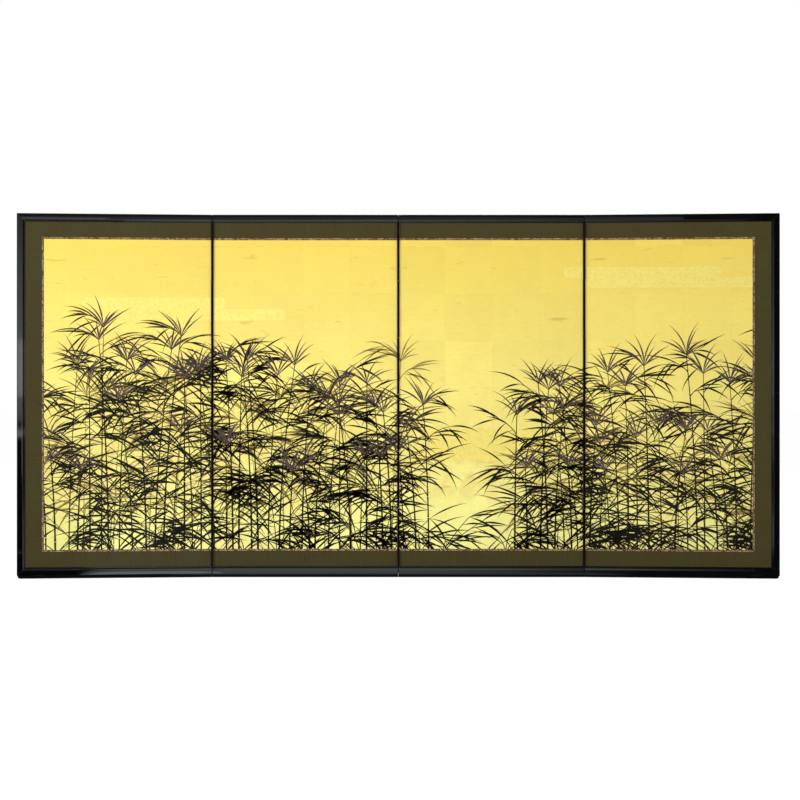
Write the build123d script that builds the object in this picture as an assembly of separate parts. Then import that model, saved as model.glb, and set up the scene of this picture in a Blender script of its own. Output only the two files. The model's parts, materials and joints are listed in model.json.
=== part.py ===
from build123d import *
from dataclasses import dataclass
from math import atan2, cos, degrees, radians, sin
import os

# A low byobu: a folding screen of four panels joined by paper hinges. Each panel is a half-lapped
# cedar lattice, papered on both faces, with a gold-leaf picture and a silk brocade border in front.
# A lacquered moulding runs round the outside of the screen only. All sizes are in millimetres.
# X runs along the screen, Y from the front (-) to the back (+), Z up from the floor.

# Driving dimensions: the whole screen
SCREEN_HEIGHT = 834.5        # floor to the top of the frame
INNER_PANEL_WIDTH = 428.0    # fold to fold
END_PANEL_WIDTH = 443.0      # fold to the outer face of the end stile
REST_ANGLE = 4.0             # degrees that each end panel stands forward of flat

# Layers of a panel, from the front to the back
FRONT_REVEAL = 3.8           # frame crown above the picture
PICTURE_T = 0.5              # picture paper, and the brocade beside it
UNDERLAY_T = 1.0             # pasted layers of lining paper, on each face of the lattice
CORE_T = 12.5                # cedar lattice
BACK_PAPER_T = 0.4
BACK_REVEAL = 1.6            # frame back above the back paper

# Lacquered frame moulding
MOULDING_W = 15.0            # the moulded bar itself, beside the lattice
CROWN_RISE = 0.5             # how far its front bulges
SHOULDER_R = 2.2             # outer front arris
INNER_SHOULDER_R = 1.6       # front arris beside the quirk, no more than its wall
BACK_ARRIS_R = 1.2           # outer back arris
LIP_W = 4.0                  # lip that laps over the brocade
LIP_T = 1.2
LIP_EDGE_R = 0.5
QUIRK_W = 3.0                # hollow run along the lip, beside the bar
QUIRK_DEPTH = 0.8
END_EASE = 0.8               # arrises broken at the fold ends of the rails
MITRE_TENON_T = 6.0          # blind tenon inside each mitred corner
MITRE_TENON_W = 5.0
MITRE_TENON_L = 7.0
MITRE_TENON_INSET = 7.0      # from the frame's outer face to the tenon

# Glide strip under each bottom rail
GLIDE_H = 7.0
GLIDE_D = 13.0
GLIDE_END_R = 6.0            # rounded outer end
GLIDE_END_SETBACK = 1.5
GLIDE_CHAMFER = 1.2
GLIDE_GAP = 0.3              # between the strips of two panels laid flat

# Border and trim on the front
BROCADE_CAP_W = 35.0         # seen height of the top and bottom strips
BROCADE_SIDE_W = 37.5        # seen width of the strip beside an end stile
TRIM_W = 4.5
TRIM_T = 0.6
TRIM_CHAMFER = 0.25

# Lattice
CORE_FRAME_W = 24.0          # face width of its outer stiles and rails
CORE_BAR_W = 15.0            # face width of the inner bars
UPRIGHT_COUNT = 3
CROSSBAR_COUNT = 7
TENON_T = 4.0
CORNER_TENON_L = 15.0        # core rail into core stile
STUB_TENON_L = 6.0           # inner bars into the core frame
JOINT_FIT = 0.1              # side clearance in laps and mortises

# Double-pointed pins of split bamboo that hold the frame to the lattice
PIN_W = 2.4                  # square
PIN_L = 24.0                 # half in each piece
PIN_POINT_L = 4.0
PIN_POINT_W = 0.8
PIN_FIT = 0.05               # each side
PINS_PER_RAIL = 3
PINS_PER_STILE = 4

# Folds
FOLD_GAP = 1.0               # between two panels laid flat
FOLD_CLEARANCE = 0.5         # fold axis in front of, or behind, the frame's face
SLIP_W = 2.0                 # thin lacquered slip along each fold edge
HINGE_PAPER_T = 0.3
HINGE_FLAP_W = 16.0          # pasted to the lining paper
HINGE_STRIPS = 6
HINGE_STRIP_GAP = 1.5

# Levels through the thickness
DEPTH = (FRONT_REVEAL + PICTURE_T + UNDERLAY_T + CORE_T + UNDERLAY_T + BACK_PAPER_T + BACK_REVEAL)
Y_FRONT = -DEPTH / 2
Y_PICTURE = Y_FRONT + FRONT_REVEAL
Y_FRONT_LINING = Y_PICTURE + PICTURE_T
Y_CORE_FRONT = Y_FRONT_LINING + UNDERLAY_T
Y_CORE_BACK = Y_CORE_FRONT + CORE_T
Y_BACK_LINING = Y_CORE_BACK + UNDERLAY_T
Y_BACK_PAPER = Y_BACK_LINING + BACK_PAPER_T
Y_BACK = DEPTH / 2
Y_CORE_MID = (Y_CORE_FRONT + Y_CORE_BACK) / 2

# Levels up the height
Z_RAIL = GLIDE_H
Z_CORE_LOW = Z_RAIL + MOULDING_W
Z_CORE_HIGH = SCREEN_HEIGHT - MOULDING_W
Z_LIP_LOW = Z_CORE_LOW + LIP_W
Z_LIP_HIGH = Z_CORE_HIGH - LIP_W
FOLD_EDGE_W = FOLD_GAP / 2 + SLIP_W      # from a fold plane to the lattice

FRONT = -1
BACK = 1
LEFT = -1
RIGHT = 1


@dataclass
class Fold:
    """A fold between two panels. Its axis runs up the face where the paper bridges the gap."""

    name: str
    x: float
    bridge: int                 # FRONT where the fronts close together, BACK where the backs do

    @property
    def axis_y(self):
        face = Y_FRONT if self.bridge == FRONT else Y_BACK
        return face + self.bridge * FOLD_CLEARANCE


@dataclass
class Panel:
    """One panel laid flat. A side without a fold has a lacquered stile."""

    number: int
    x_left: float
    x_right: float
    left_fold: Fold | None
    right_fold: Fold | None

    def fold(self, side):
        return self.left_fold if side == LEFT else self.right_fold

    def edge(self, side):
        return self.x_left if side == LEFT else self.x_right

    def frame_edge(self, side):
        """Outer face of the frame on this side."""
        return self.edge(side) - side * (FOLD_GAP / 2 if self.fold(side) else 0)

    def core_edge(self, side):
        """Outer face of the lattice on this side."""
        return self.edge(side) - side * (FOLD_EDGE_W if self.fold(side) else MOULDING_W)

    def skin_edge(self, side):
        """Outer edge of the papers and the brocade on this side."""
        return self.core_edge(side) - side * (HINGE_PAPER_T if self.fold(side) else 0)

    @property
    def stile_sides(self):
        return [side for side in (LEFT, RIGHT) if self.fold(side) is None]

    @property
    def fold_sides(self):
        return [side for side in (LEFT, RIGHT) if self.fold(side) is not None]


def bar(x, y, z):
    """A squared piece between two values on each axis, given in either order."""
    low = [min(pair) for pair in (x, y, z)]
    size = [abs(pair[1] - pair[0]) for pair in (x, y, z)]
    return Pos(*low) * Box(*size, align=(Align.MIN, Align.MIN, Align.MIN))


def spread(low, high, count, width):
    """Centres of count pieces of a width, with equal spaces between them and at both ends."""
    space = (high - low - count * width) / (count + 1)
    return [low + space * (i + 1) + width * (i + 0.5) for i in range(count)]


def cut_back(solid, point, away):
    """What is left of a solid behind the plane through a point that faces away."""
    return split(solid, bisect_by=Plane(origin=point, z_dir=away), keep=Keep.BOTTOM)


def corner_at(face, x, y):
    """The vertex of a flat outline nearest to a point."""
    return min(face.vertices(), key=lambda v: abs(v.X - x) + abs(v.Y - y))


# Sections, with x from the outer line inwards and y through the thickness

def moulding_section():
    """Crowned bar with a thin hollowed lip that laps over the brocade."""
    edge_y = Y_FRONT + CROWN_RISE
    lip_y = Y_PICTURE - LIP_T
    lip_end = MOULDING_W + LIP_W
    rim_x = MOULDING_W + QUIRK_W
    crown = ThreePointArc((0, edge_y), (MOULDING_W / 2, Y_FRONT), (MOULDING_W, edge_y))
    wall = Line((MOULDING_W, edge_y), (MOULDING_W, lip_y))
    quirk = ThreePointArc(
        (MOULDING_W, lip_y), (MOULDING_W + QUIRK_W / 2, lip_y + QUIRK_DEPTH), (rim_x, lip_y)
    )
    rest = Polyline(
        (rim_x, lip_y),
        (lip_end, lip_y),
        (lip_end, Y_PICTURE),
        (MOULDING_W, Y_PICTURE),
        (MOULDING_W, Y_BACK),
        (0, Y_BACK),
        (0, edge_y),
    )
    face = make_face([crown, wall, quirk, rest])
    face = fillet(corner_at(face, 0, edge_y), SHOULDER_R)
    face = fillet(corner_at(face, MOULDING_W, edge_y), min(INNER_SHOULDER_R, lip_y - edge_y))
    face = fillet(corner_at(face, lip_end, lip_y), LIP_EDGE_R)
    return fillet(corner_at(face, 0, Y_BACK), BACK_ARRIS_R)


def trim_section():
    """Thin strip with both front arrises broken, laid over the joint of brocade and picture."""
    front = Y_PICTURE - TRIM_T
    return make_face(Polyline(
        (0, Y_PICTURE),
        (0, front + TRIM_CHAMFER),
        (TRIM_CHAMFER, front),
        (TRIM_W - TRIM_CHAMFER, front),
        (TRIM_W, front + TRIM_CHAMFER),
        (TRIM_W, Y_PICTURE),
        close=True,
    ))


def skin_section(width):
    """Flat sheet as thick as the picture."""
    return make_face(Polyline(
        (0, Y_PICTURE), (width, Y_PICTURE), (width, Y_FRONT_LINING), (0, Y_FRONT_LINING), close=True,
    ))


@dataclass
class Border:
    """Strips of one section along the top, the bottom and each stile side of a panel."""

    panel: Panel
    inset: float                # from the frame's outer face to the strip's outer line
    fold_x: dict                # where the strips end at each fold side
    z_low: float
    z_high: float
    cap_w: float                # widths that set the mitre's angle
    side_w: float

    def x_end(self, side):
        if self.panel.fold(side):
            return self.fold_x[side]
        return self.panel.edge(side) - side * self.inset

    def corner(self, side, level):
        return (self.x_end(side), 0, self.z_high if level > 0 else self.z_low)

    def cap(self, section, level):
        """The strip along the top (level 1) or the bottom (level -1)."""
        x_low, x_high = self.x_end(LEFT), self.x_end(RIGHT)
        start = x_low if level > 0 else x_high
        plane = Plane(
            origin=(start, 0, self.z_high if level > 0 else self.z_low),
            x_dir=(0, 0, -level),
            z_dir=(level, 0, 0),
        )
        strip = extrude(plane * section, amount=x_high - x_low, dir=(level, 0, 0))
        for side in self.panel.stile_sides:
            away = (side * self.cap_w, 0, -level * self.side_w)
            strip = cut_back(strip, self.corner(side, level), away)
        return strip

    def side(self, section, side):
        """The strip along a stile side, mitred at both ends."""
        start = self.z_low if side == LEFT else self.z_high
        plane = Plane(
            origin=(self.x_end(side), 0, start),
            x_dir=(-side, 0, 0),
            z_dir=(0, 0, -side),
        )
        strip = extrude(plane * section, amount=self.z_high - self.z_low, dir=(0, 0, -side))
        for level in (1, -1):
            away = (-side * self.cap_w, 0, level * self.side_w)
            strip = cut_back(strip, self.corner(side, level), away)
        return strip


# Pins

def pin_places(panel):
    """Where each pin crosses from frame to lattice: the point and the direction outwards."""
    low, high = panel.core_edge(LEFT), panel.core_edge(RIGHT)
    places = {"top": [], "bottom": []}
    for x in spread(low, high, PINS_PER_RAIL, PIN_W):
        places["top"].append(((x, Y_CORE_MID, Z_CORE_HIGH), (0, 0, 1)))
        places["bottom"].append(((x, Y_CORE_MID, Z_CORE_LOW), (0, 0, -1)))
    for side in panel.stile_sides:
        places[side] = [
            ((panel.core_edge(side), Y_CORE_MID, z), (side, 0, 0))
            for z in spread(Z_CORE_LOW, Z_CORE_HIGH, PINS_PER_STILE, PIN_W)
        ]
    return places


def pin(place):
    """A square pin split from bamboo and whittled to a blunt point at both ends."""
    point, outwards = place
    shank = PIN_L / 2 - PIN_POINT_L
    taper = degrees(atan2((PIN_W - PIN_POINT_W) / 2, PIN_POINT_L))
    body = Box(PIN_W, PIN_W, 2 * shank)
    for plane in (Plane.XY, Plane.YX):
        body += extrude(plane.offset(shank) * Rectangle(PIN_W, PIN_W), PIN_POINT_L, taper=taper)
    return Plane(origin=point, z_dir=outwards) * body


def pin_holes(places):
    """Square blind holes chopped for the pins, through the joint between frame and lattice."""
    width = PIN_W + 2 * PIN_FIT
    hole = Box(width, width, PIN_L + 2 * PIN_FIT)
    return [Plane(origin=point, z_dir=outwards) * hole for point, outwards in places]


# Lattice

@dataclass
class Lattice:
    """The half-lapped lattice inside one panel, between its outer stiles and rails."""

    panel: Panel

    def __post_init__(self):
        self.x_low, self.x_high = self.panel.core_edge(LEFT), self.panel.core_edge(RIGHT)
        self.y = (Y_CORE_FRONT, Y_CORE_BACK)
        self.x_in = (self.x_low + CORE_FRAME_W, self.x_high - CORE_FRAME_W)
        self.z_in = (Z_CORE_LOW + CORE_FRAME_W, Z_CORE_HIGH - CORE_FRAME_W)
        self.columns = spread(*self.x_in, UPRIGHT_COUNT, CORE_BAR_W)
        self.rows = spread(*self.z_in, CROSSBAR_COUNT, CORE_BAR_W)

    def tongue_y(self, fit=0.0):
        return (Y_CORE_MID - TENON_T / 2 - fit, Y_CORE_MID + TENON_T / 2 + fit)

    def tongue_z(self, z_end, level, fit=0.0):
        """Height of a corner tenon, cut back from the rail's outer edge by a quarter."""
        shoulder = CORE_FRAME_W / 4
        return (z_end - level * (shoulder - fit), z_end - level * (CORE_FRAME_W + fit))

    def upright(self, x):
        """A standing bar: half its thickness is cut away from the front at each crossing."""
        half = CORE_BAR_W / 2
        piece = bar((x - half, x + half), self.y, self.z_in)
        tongue = (self.z_in[0] - STUB_TENON_L, self.z_in[1] + STUB_TENON_L)
        piece += bar((x - half, x + half), self.tongue_y(), tongue)
        notch = half + JOINT_FIT
        laps = [
            bar((x - CORE_BAR_W, x + CORE_BAR_W), (Y_CORE_FRONT, Y_CORE_MID), (z - notch, z + notch))
            for z in self.rows
        ]
        return piece - laps

    def crossbar(self, z):
        """A lying bar: half its thickness is cut away from the back at each crossing."""
        half = CORE_BAR_W / 2
        piece = bar(self.x_in, self.y, (z - half, z + half))
        tongue = (self.x_in[0] - STUB_TENON_L, self.x_in[1] + STUB_TENON_L)
        piece += bar(tongue, self.tongue_y(), (z - half, z + half))
        notch = half + JOINT_FIT
        laps = [
            bar((x - notch, x + notch), (Y_CORE_MID, Y_CORE_BACK), (z - CORE_BAR_W, z + CORE_BAR_W))
            for x in self.columns
        ]
        return piece - laps

    def frame(self, places):
        """Two stiles and two rails, tenoned at the corners and mortised for the bars."""
        half = CORE_BAR_W / 2 + JOINT_FIT
        tongue_y = self.tongue_y(JOINT_FIT)
        depth = STUB_TENON_L + JOINT_FIT
        pieces = []
        for x_out, x_in, side in ((self.x_low, self.x_in[0], LEFT), (self.x_high, self.x_in[1], RIGHT)):
            stile = bar((x_out, x_in), self.y, (Z_CORE_LOW, Z_CORE_HIGH))
            cuts = [bar((x_in, x_in + side * depth), tongue_y, (z - half, z + half)) for z in self.rows]
            reach = (x_in, x_in + side * (CORNER_TENON_L + JOINT_FIT))
            for z_end, level in ((Z_CORE_LOW, -1), (Z_CORE_HIGH, 1)):
                cuts.append(bar(reach, tongue_y, self.tongue_z(z_end, level, JOINT_FIT)))
            pieces.append(stile - cuts - pin_holes(places.get(side, [])))
        for z_end, z_in, level, key in (
            (Z_CORE_LOW, self.z_in[0], -1, "bottom"),
            (Z_CORE_HIGH, self.z_in[1], 1, "top"),
        ):
            rail = bar(self.x_in, self.y, (z_end, z_in))
            reach = (self.x_in[0] - CORNER_TENON_L, self.x_in[1] + CORNER_TENON_L)
            rail += bar(reach, self.tongue_y(), self.tongue_z(z_end, level))
            cuts = [
                bar((x - half, x + half), tongue_y, (z_in, z_in + level * depth)) for x in self.columns
            ]
            pieces.append(rail - cuts - pin_holes(places[key]))
        return pieces


# Paper hinges

def strip_spans():
    """Height of each hinge strip, from the bottom up."""
    pitch = (Z_LIP_HIGH - Z_LIP_LOW) / HINGE_STRIPS
    margin = HINGE_STRIP_GAP / 2
    return [
        (Z_LIP_LOW + i * pitch + margin, Z_LIP_LOW + (i + 1) * pitch - margin)
        for i in range(HINGE_STRIPS)
    ]


def tab_span(index):
    """Height of the tab that a strip has between the rail ends: only the lowest and highest have one."""
    low, high = strip_spans()[index]
    if index == 0:
        return (Z_RAIL + END_EASE, low)
    if index == HINGE_STRIPS - 1:
        return (high, SCREEN_HEIGHT - END_EASE)
    return None


def flap_face(fold, side, index):
    """The face of the panel on one side of a fold that carries the flap of a strip.

    Strips take turns: an even strip bridges from the left panel, an odd one from the right.
    """
    near_side = LEFT if index % 2 == 0 else RIGHT
    return fold.bridge if side == near_side else -fold.bridge


def swing(fold, angle, point):
    """A point of the section turned about the fold's axis by an angle in degrees."""
    dx, dy = point[0] - fold.x, point[1] - fold.axis_y
    c, s = cos(radians(angle)), sin(radians(angle))
    return (fold.x + c * dx - s * dy, fold.axis_y + s * dx + c * dy)


def hinge_strip(fold, index, left_angle, right_angle):
    """One strip: from a flap under the skin, over the slip, across the gap at the bridging face,
    down the other panel's fold edge, round its slip and under the skin of its other face. The lowest
    and the highest strip run on between the rail ends, as wide as the gap."""
    crown = {FRONT: Y_FRONT, BACK: Y_BACK}
    lining = {FRONT: Y_FRONT_LINING, BACK: Y_BACK_LINING}
    near, far = fold.bridge, -fold.bridge
    inwards = -fold.bridge * HINGE_PAPER_T
    half = FOLD_GAP / 2
    thick = HINGE_PAPER_T
    flap_end = FOLD_EDGE_W + HINGE_FLAP_W
    outer_near = [
        (-flap_end, lining[near]),
        (-FOLD_EDGE_W - thick, lining[near]),
        (-FOLD_EDGE_W - thick, crown[near]),
        (-half, crown[near]),
    ]
    outer_far = [
        (half, crown[near]),
        (half, crown[far] - inwards),
        (FOLD_EDGE_W, crown[far] - inwards),
        (FOLD_EDGE_W, lining[far] - inwards),
        (flap_end, lining[far] - inwards),
    ]
    inner_far = [
        (flap_end, lining[far]),
        (FOLD_EDGE_W + thick, lining[far]),
        (FOLD_EDGE_W + thick, crown[far]),
        (half - thick, crown[far]),
        (half - thick, crown[near] + inwards),
    ]
    inner_near = [
        (-half, crown[near] + inwards),
        (-FOLD_EDGE_W, crown[near] + inwards),
        (-FOLD_EDGE_W, lining[near] + inwards),
        (-flap_end, lining[near] + inwards),
    ]
    hand = 1 if index % 2 == 0 else -1
    near_angle, far_angle = (left_angle, right_angle)[::hand]

    def stretch(near_points, far_points, near_inner, span):
        outline = [
            swing(fold, angle, (fold.x + hand * x, y))
            for angle, points in ((near_angle, near_points), (far_angle, far_points), (near_angle, near_inner))
            for x, y in points
        ]
        face = make_face(Polyline(*outline, close=True))
        return Pos(0, 0, span[0]) * extrude(face, amount=span[1] - span[0], dir=(0, 0, 1))

    strip = stretch(outer_near, outer_far + inner_far, inner_near, strip_spans()[index])
    if tab_span(index):
        in_gap = outer_far[:2] + [(half - thick, crown[far] - inwards), inner_far[-1]]
        strip += stretch(outer_near[-1:], in_gap, inner_near[:1], tab_span(index))
    return strip


# Panels

def linings(panel):
    """Front and back lining papers, with a pocket for each hinge flap."""
    sheets = []
    for face, y_in, y_out in (
        (FRONT, Y_CORE_FRONT, Y_FRONT_LINING),
        (BACK, Y_CORE_BACK, Y_BACK_LINING),
    ):
        sheet = bar(
            (panel.core_edge(LEFT), panel.core_edge(RIGHT)), (y_in, y_out), (Z_CORE_LOW, Z_CORE_HIGH)
        )
        for side in panel.fold_sides:
            edge = panel.core_edge(side)
            pockets = [
                bar(
                    (edge, edge - side * HINGE_FLAP_W),
                    (y_out, y_out - face * HINGE_PAPER_T),
                    span,
                )
                for index, span in enumerate(strip_spans())
                if flap_face(panel.fold(side), -side, index) == face
            ]
            sheet -= pockets
        sheets.append(sheet)
    return sheets


def fold_slips(panel):
    """Thin slips along the fold edges, notched at both ends where the lips pass over them."""
    slips = []
    for side in panel.fold_sides:
        x = (panel.core_edge(side), panel.frame_edge(side))
        back = Y_BACK - HINGE_PAPER_T
        slip = bar(x, (Y_FRONT + HINGE_PAPER_T, back), (Z_LIP_LOW, Z_LIP_HIGH))
        slip += bar(x, (Y_PICTURE, back), (Z_CORE_LOW, Z_CORE_HIGH))
        slips.append(slip)
    return slips


def eased_end(rail, panel, side, level):
    """Break the arrises of a rail where it meets the next panel's rail."""
    x = panel.frame_edge(side)
    z = SCREEN_HEIGHT if level > 0 else Z_RAIL
    ease = END_EASE * side
    rail = cut_back(rail, (x - ease, 0, z), (side, 0, level))
    rail = cut_back(rail, (x - ease, Y_FRONT, 0), (side, -1, 0))
    return cut_back(rail, (x - ease, Y_BACK, 0), (side, 1, 0))


def mitre_tenon(panel, side, level, fit=0.0):
    """The blind tenon that runs from a stile into the mitred end of a rail."""
    x_out = panel.edge(side) - side * (MITRE_TENON_INSET - fit)
    x_in = panel.edge(side) - side * (MITRE_TENON_INSET + MITRE_TENON_W + fit)
    corner_z = SCREEN_HEIGHT if level > 0 else Z_RAIL
    root = corner_z - level * (MITRE_TENON_INSET + MITRE_TENON_W + MITRE_TENON_L)
    tip = corner_z - level * (MITRE_TENON_INSET + MITRE_TENON_W - MITRE_TENON_L - fit)
    half = MITRE_TENON_T / 2 + fit
    return bar((x_out, x_in), (Y_CORE_MID - half, Y_CORE_MID + half), (root, tip))


def glide_strip(panel):
    """Strip under the bottom rail: chamfered along the floor, rounded at a stile end."""
    low, high = (
        panel.edge(side) - side * (GLIDE_GAP / 2 if panel.fold(side) else GLIDE_END_SETBACK)
        for side in (LEFT, RIGHT)
    )
    half = GLIDE_D / 2
    side_view = make_face(Polyline((low, 0), (high, 0), (high, GLIDE_H), (low, GLIDE_H), close=True))
    for side in panel.stile_sides:
        x = low if side == LEFT else high
        side_view = fillet(corner_at(side_view, x, 0), GLIDE_END_R)
    along = extrude(Plane.XZ * side_view, amount=half, both=True)
    end_view = make_face(Polyline(
        (-half, GLIDE_H),
        (-half, GLIDE_CHAMFER),
        (-half + GLIDE_CHAMFER, 0),
        (half - GLIDE_CHAMFER, 0),
        (half, GLIDE_CHAMFER),
        (half, GLIDE_H),
        close=True,
    ))
    across = extrude(Plane.YZ.offset(low) * end_view, amount=high - low, dir=(1, 0, 0))
    return along & across


def panel_pieces(panel):
    """Every piece of one panel, laid flat, under its node's name."""
    prefix = f"panel_{panel.number}"
    places = pin_places(panel)
    lattice = Lattice(panel)
    skin_x = {side: panel.skin_edge(side) for side in (LEFT, RIGHT)}
    frame_x = {side: panel.frame_edge(side) for side in (LEFT, RIGHT)}

    width = MOULDING_W + LIP_W
    frame = Border(panel, 0, frame_x, Z_RAIL, SCREEN_HEIGHT, width, width)
    section = moulding_section()
    rails = {}
    for level, key in ((1, "top"), (-1, "bottom")):
        rail = frame.cap(section, level)
        for side in panel.fold_sides:
            rail = eased_end(rail, panel, side, level)
        for side in panel.stile_sides:
            rail -= mitre_tenon(panel, side, level, JOINT_FIT)
        rails[key] = rail - pin_holes(places[key])

    half_trim = TRIM_W / 2
    cap_w = LIP_W + BROCADE_CAP_W + half_trim
    side_w = LIP_W + BROCADE_SIDE_W + half_trim
    brocade = Border(panel, MOULDING_W, skin_x, Z_CORE_LOW, Z_CORE_HIGH, cap_w, side_w)
    trim_cap_inset = LIP_W + BROCADE_CAP_W
    trim = Border(
        panel,
        MOULDING_W + LIP_W + BROCADE_SIDE_W,
        skin_x,
        Z_CORE_LOW + trim_cap_inset,
        Z_CORE_HIGH - trim_cap_inset,
        TRIM_W,
        TRIM_W,
    )
    strips = [brocade.cap(skin_section(cap_w), level) for level in (1, -1)]
    strips += [brocade.side(skin_section(side_w), side) for side in panel.stile_sides]
    beads = [trim.cap(trim_section(), level) for level in (1, -1)]
    beads += [trim.side(trim_section(), side) for side in panel.stile_sides]

    picture_x = [
        skin_x[side] - side * (0 if panel.fold(side) else side_w) for side in (LEFT, RIGHT)
    ]
    pieces = {
        "core_frame": lattice.frame(places),
        "core_uprights": [lattice.upright(x) for x in lattice.columns],
        "core_crossbars": [lattice.crossbar(z) for z in lattice.rows],
        "frame_pins": [pin(place) for group in places.values() for place in group],
        "lining_papers": linings(panel),
        "picture": [
            bar(picture_x, (Y_PICTURE, Y_FRONT_LINING), (Z_CORE_LOW + cap_w, Z_CORE_HIGH - cap_w))
        ],
        "brocade_border": strips,
        "trim_line": beads,
        "back_paper": [
            bar(
                (skin_x[LEFT], skin_x[RIGHT]), (Y_BACK_LINING, Y_BACK_PAPER), (Z_CORE_LOW, Z_CORE_HIGH)
            )
        ],
        "top_rail": [rails["top"]],
        "bottom_rail": [rails["bottom"]],
        "glide_strip": [glide_strip(panel)],
        "fold_slips": fold_slips(panel),
    }
    for side in panel.stile_sides:
        stile = frame.side(section, side)
        stile += [mitre_tenon(panel, side, level) for level in (1, -1)]
        pieces["end_stile"] = [stile - pin_holes(places[side])]
    return {
        f"{prefix}_{name}": [solid for piece in group for solid in piece.solids()]
        for name, group in pieces.items()
    }


def swung(solids, fold, angle):
    """Solids turned about a fold's axis."""
    place = Pos(fold.x, fold.axis_y, 0) * Rot(0, 0, angle) * Pos(-fold.x, -fold.axis_y, 0)
    return [place * solid for solid in solids]


def build():
    """All nodes in the rest pose, with the origin on the floor at the middle of the outline."""
    fold_12 = Fold("fold_1_2", -INNER_PANEL_WIDTH, FRONT)
    fold_23 = Fold("fold_2_3", 0.0, BACK)
    fold_34 = Fold("fold_3_4", INNER_PANEL_WIDTH, FRONT)
    panels = [
        Panel(1, fold_12.x - END_PANEL_WIDTH, fold_12.x, None, fold_12),
        Panel(2, fold_12.x, fold_23.x, fold_12, fold_23),
        Panel(3, fold_23.x, fold_34.x, fold_23, fold_34),
        Panel(4, fold_34.x, fold_34.x + END_PANEL_WIDTH, fold_34, None),
    ]
    swings = {1: (fold_12, REST_ANGLE), 4: (fold_34, -REST_ANGLE)}
    nodes = {}
    for panel in panels:
        pieces = panel_pieces(panel)
        if panel.number in swings:
            fold, angle = swings[panel.number]
            pieces = {name: swung(solids, fold, angle) for name, solids in pieces.items()}
        nodes.update(pieces)
    for fold, left_angle, right_angle in (
        (fold_12, REST_ANGLE, 0.0),
        (fold_23, 0.0, 0.0),
        (fold_34, 0.0, -REST_ANGLE),
    ):
        nodes[f"hinge_papers_{fold.name[-3]}{fold.name[-1]}"] = [
            hinge_strip(fold, index, left_angle, right_angle).solid() for index in range(HINGE_STRIPS)
        ]
    everything = Compound([solid for solids in nodes.values() for solid in solids])
    outline = everything.bounding_box()
    home = Pos(0, -(outline.min.Y + outline.max.Y) / 2, 0)
    for fold in (fold_12, fold_23, fold_34):
        print(f"{fold.name}: axis at x {fold.x:.3f}, y {fold.axis_y + home.position.Y:.3f}")
    return {name: Compound([home * solid for solid in solids]) for name, solids in nodes.items()}


os.makedirs("parts", exist_ok=True)
for node, shape in build().items():
    export_step(shape, f"parts/{node}.step")
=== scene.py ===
import json
import logging
import math
import random
from dataclasses import dataclass, field
from enum import Enum
from functools import partial
from typing import Iterator, Sequence

import bmesh
import bpy
from mathutils import Matrix, Vector, noise


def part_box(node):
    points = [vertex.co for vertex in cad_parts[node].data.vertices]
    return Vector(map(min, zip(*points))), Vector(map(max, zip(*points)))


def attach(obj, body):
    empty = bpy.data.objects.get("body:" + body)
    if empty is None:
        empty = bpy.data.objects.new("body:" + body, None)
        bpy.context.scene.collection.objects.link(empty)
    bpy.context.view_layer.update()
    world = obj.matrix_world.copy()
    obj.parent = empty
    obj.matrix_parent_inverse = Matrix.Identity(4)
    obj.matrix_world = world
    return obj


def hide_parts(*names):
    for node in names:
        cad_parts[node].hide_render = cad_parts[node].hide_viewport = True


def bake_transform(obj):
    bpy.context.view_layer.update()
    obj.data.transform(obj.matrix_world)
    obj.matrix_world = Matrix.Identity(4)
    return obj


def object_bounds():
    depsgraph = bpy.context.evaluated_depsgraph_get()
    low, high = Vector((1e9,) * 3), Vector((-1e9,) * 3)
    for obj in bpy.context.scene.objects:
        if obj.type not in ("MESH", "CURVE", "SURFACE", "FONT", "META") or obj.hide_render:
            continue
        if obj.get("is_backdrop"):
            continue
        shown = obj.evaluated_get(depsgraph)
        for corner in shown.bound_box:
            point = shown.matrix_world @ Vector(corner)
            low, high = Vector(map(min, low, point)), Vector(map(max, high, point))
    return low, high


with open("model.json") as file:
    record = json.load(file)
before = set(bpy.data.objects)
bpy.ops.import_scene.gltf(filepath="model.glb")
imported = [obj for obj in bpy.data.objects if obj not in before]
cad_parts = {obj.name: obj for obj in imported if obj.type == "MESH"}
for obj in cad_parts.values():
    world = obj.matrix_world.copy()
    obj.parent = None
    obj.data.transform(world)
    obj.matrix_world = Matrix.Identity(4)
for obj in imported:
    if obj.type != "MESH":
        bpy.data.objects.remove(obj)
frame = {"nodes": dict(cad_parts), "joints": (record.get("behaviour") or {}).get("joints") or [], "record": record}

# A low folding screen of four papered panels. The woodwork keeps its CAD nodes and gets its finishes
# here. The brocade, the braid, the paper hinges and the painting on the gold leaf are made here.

LOG = logging.getLogger("folding_screen")
MM = 0.001
LAYER_MM = 0.05                  # from one painted layer to the next
WAVE_REPEAT = math.pi / 10       # from one band of a wave texture to the next, at a scale of 1
MIX_A, MIX_B = 6, 7              # colour sockets of a Mix node
MOST_NOISE = (0.35, 0.65)        # nearly all values of a noise lie between these

Colour = tuple[float, float, float, float]
Place = tuple[float, float, float]
Point = tuple[float, float]
Ramp = tuple[float, ...]         # values between which a share changes and, if not 0 and 1, the shares
Look = dict[str, bpy.types.Node | float]     # what goes into the sockets of a surface's shader


class Side(Enum):
    """A side of a panel, seen from the front."""

    LEFT = -1
    RIGHT = 1


class Level(Enum):
    """The lower or the upper end of a panel."""

    BOTTOM = -1
    TOP = 1


def linear(hex_colour: str) -> Colour:
    """Turn an sRGB hex value into a linear colour.

    Args:
        hex_colour: a hash and six hex digits.

    Returns:
        Red, green, blue and an alpha of 1.
    """
    channels = (int(hex_colour[i:i + 2], 16) / 255 for i in (1, 3, 5))
    return (*(c / 12.92 if c <= 0.04045 else ((c + 0.055) / 1.055) ** 2.4 for c in channels), 1.0)


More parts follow.
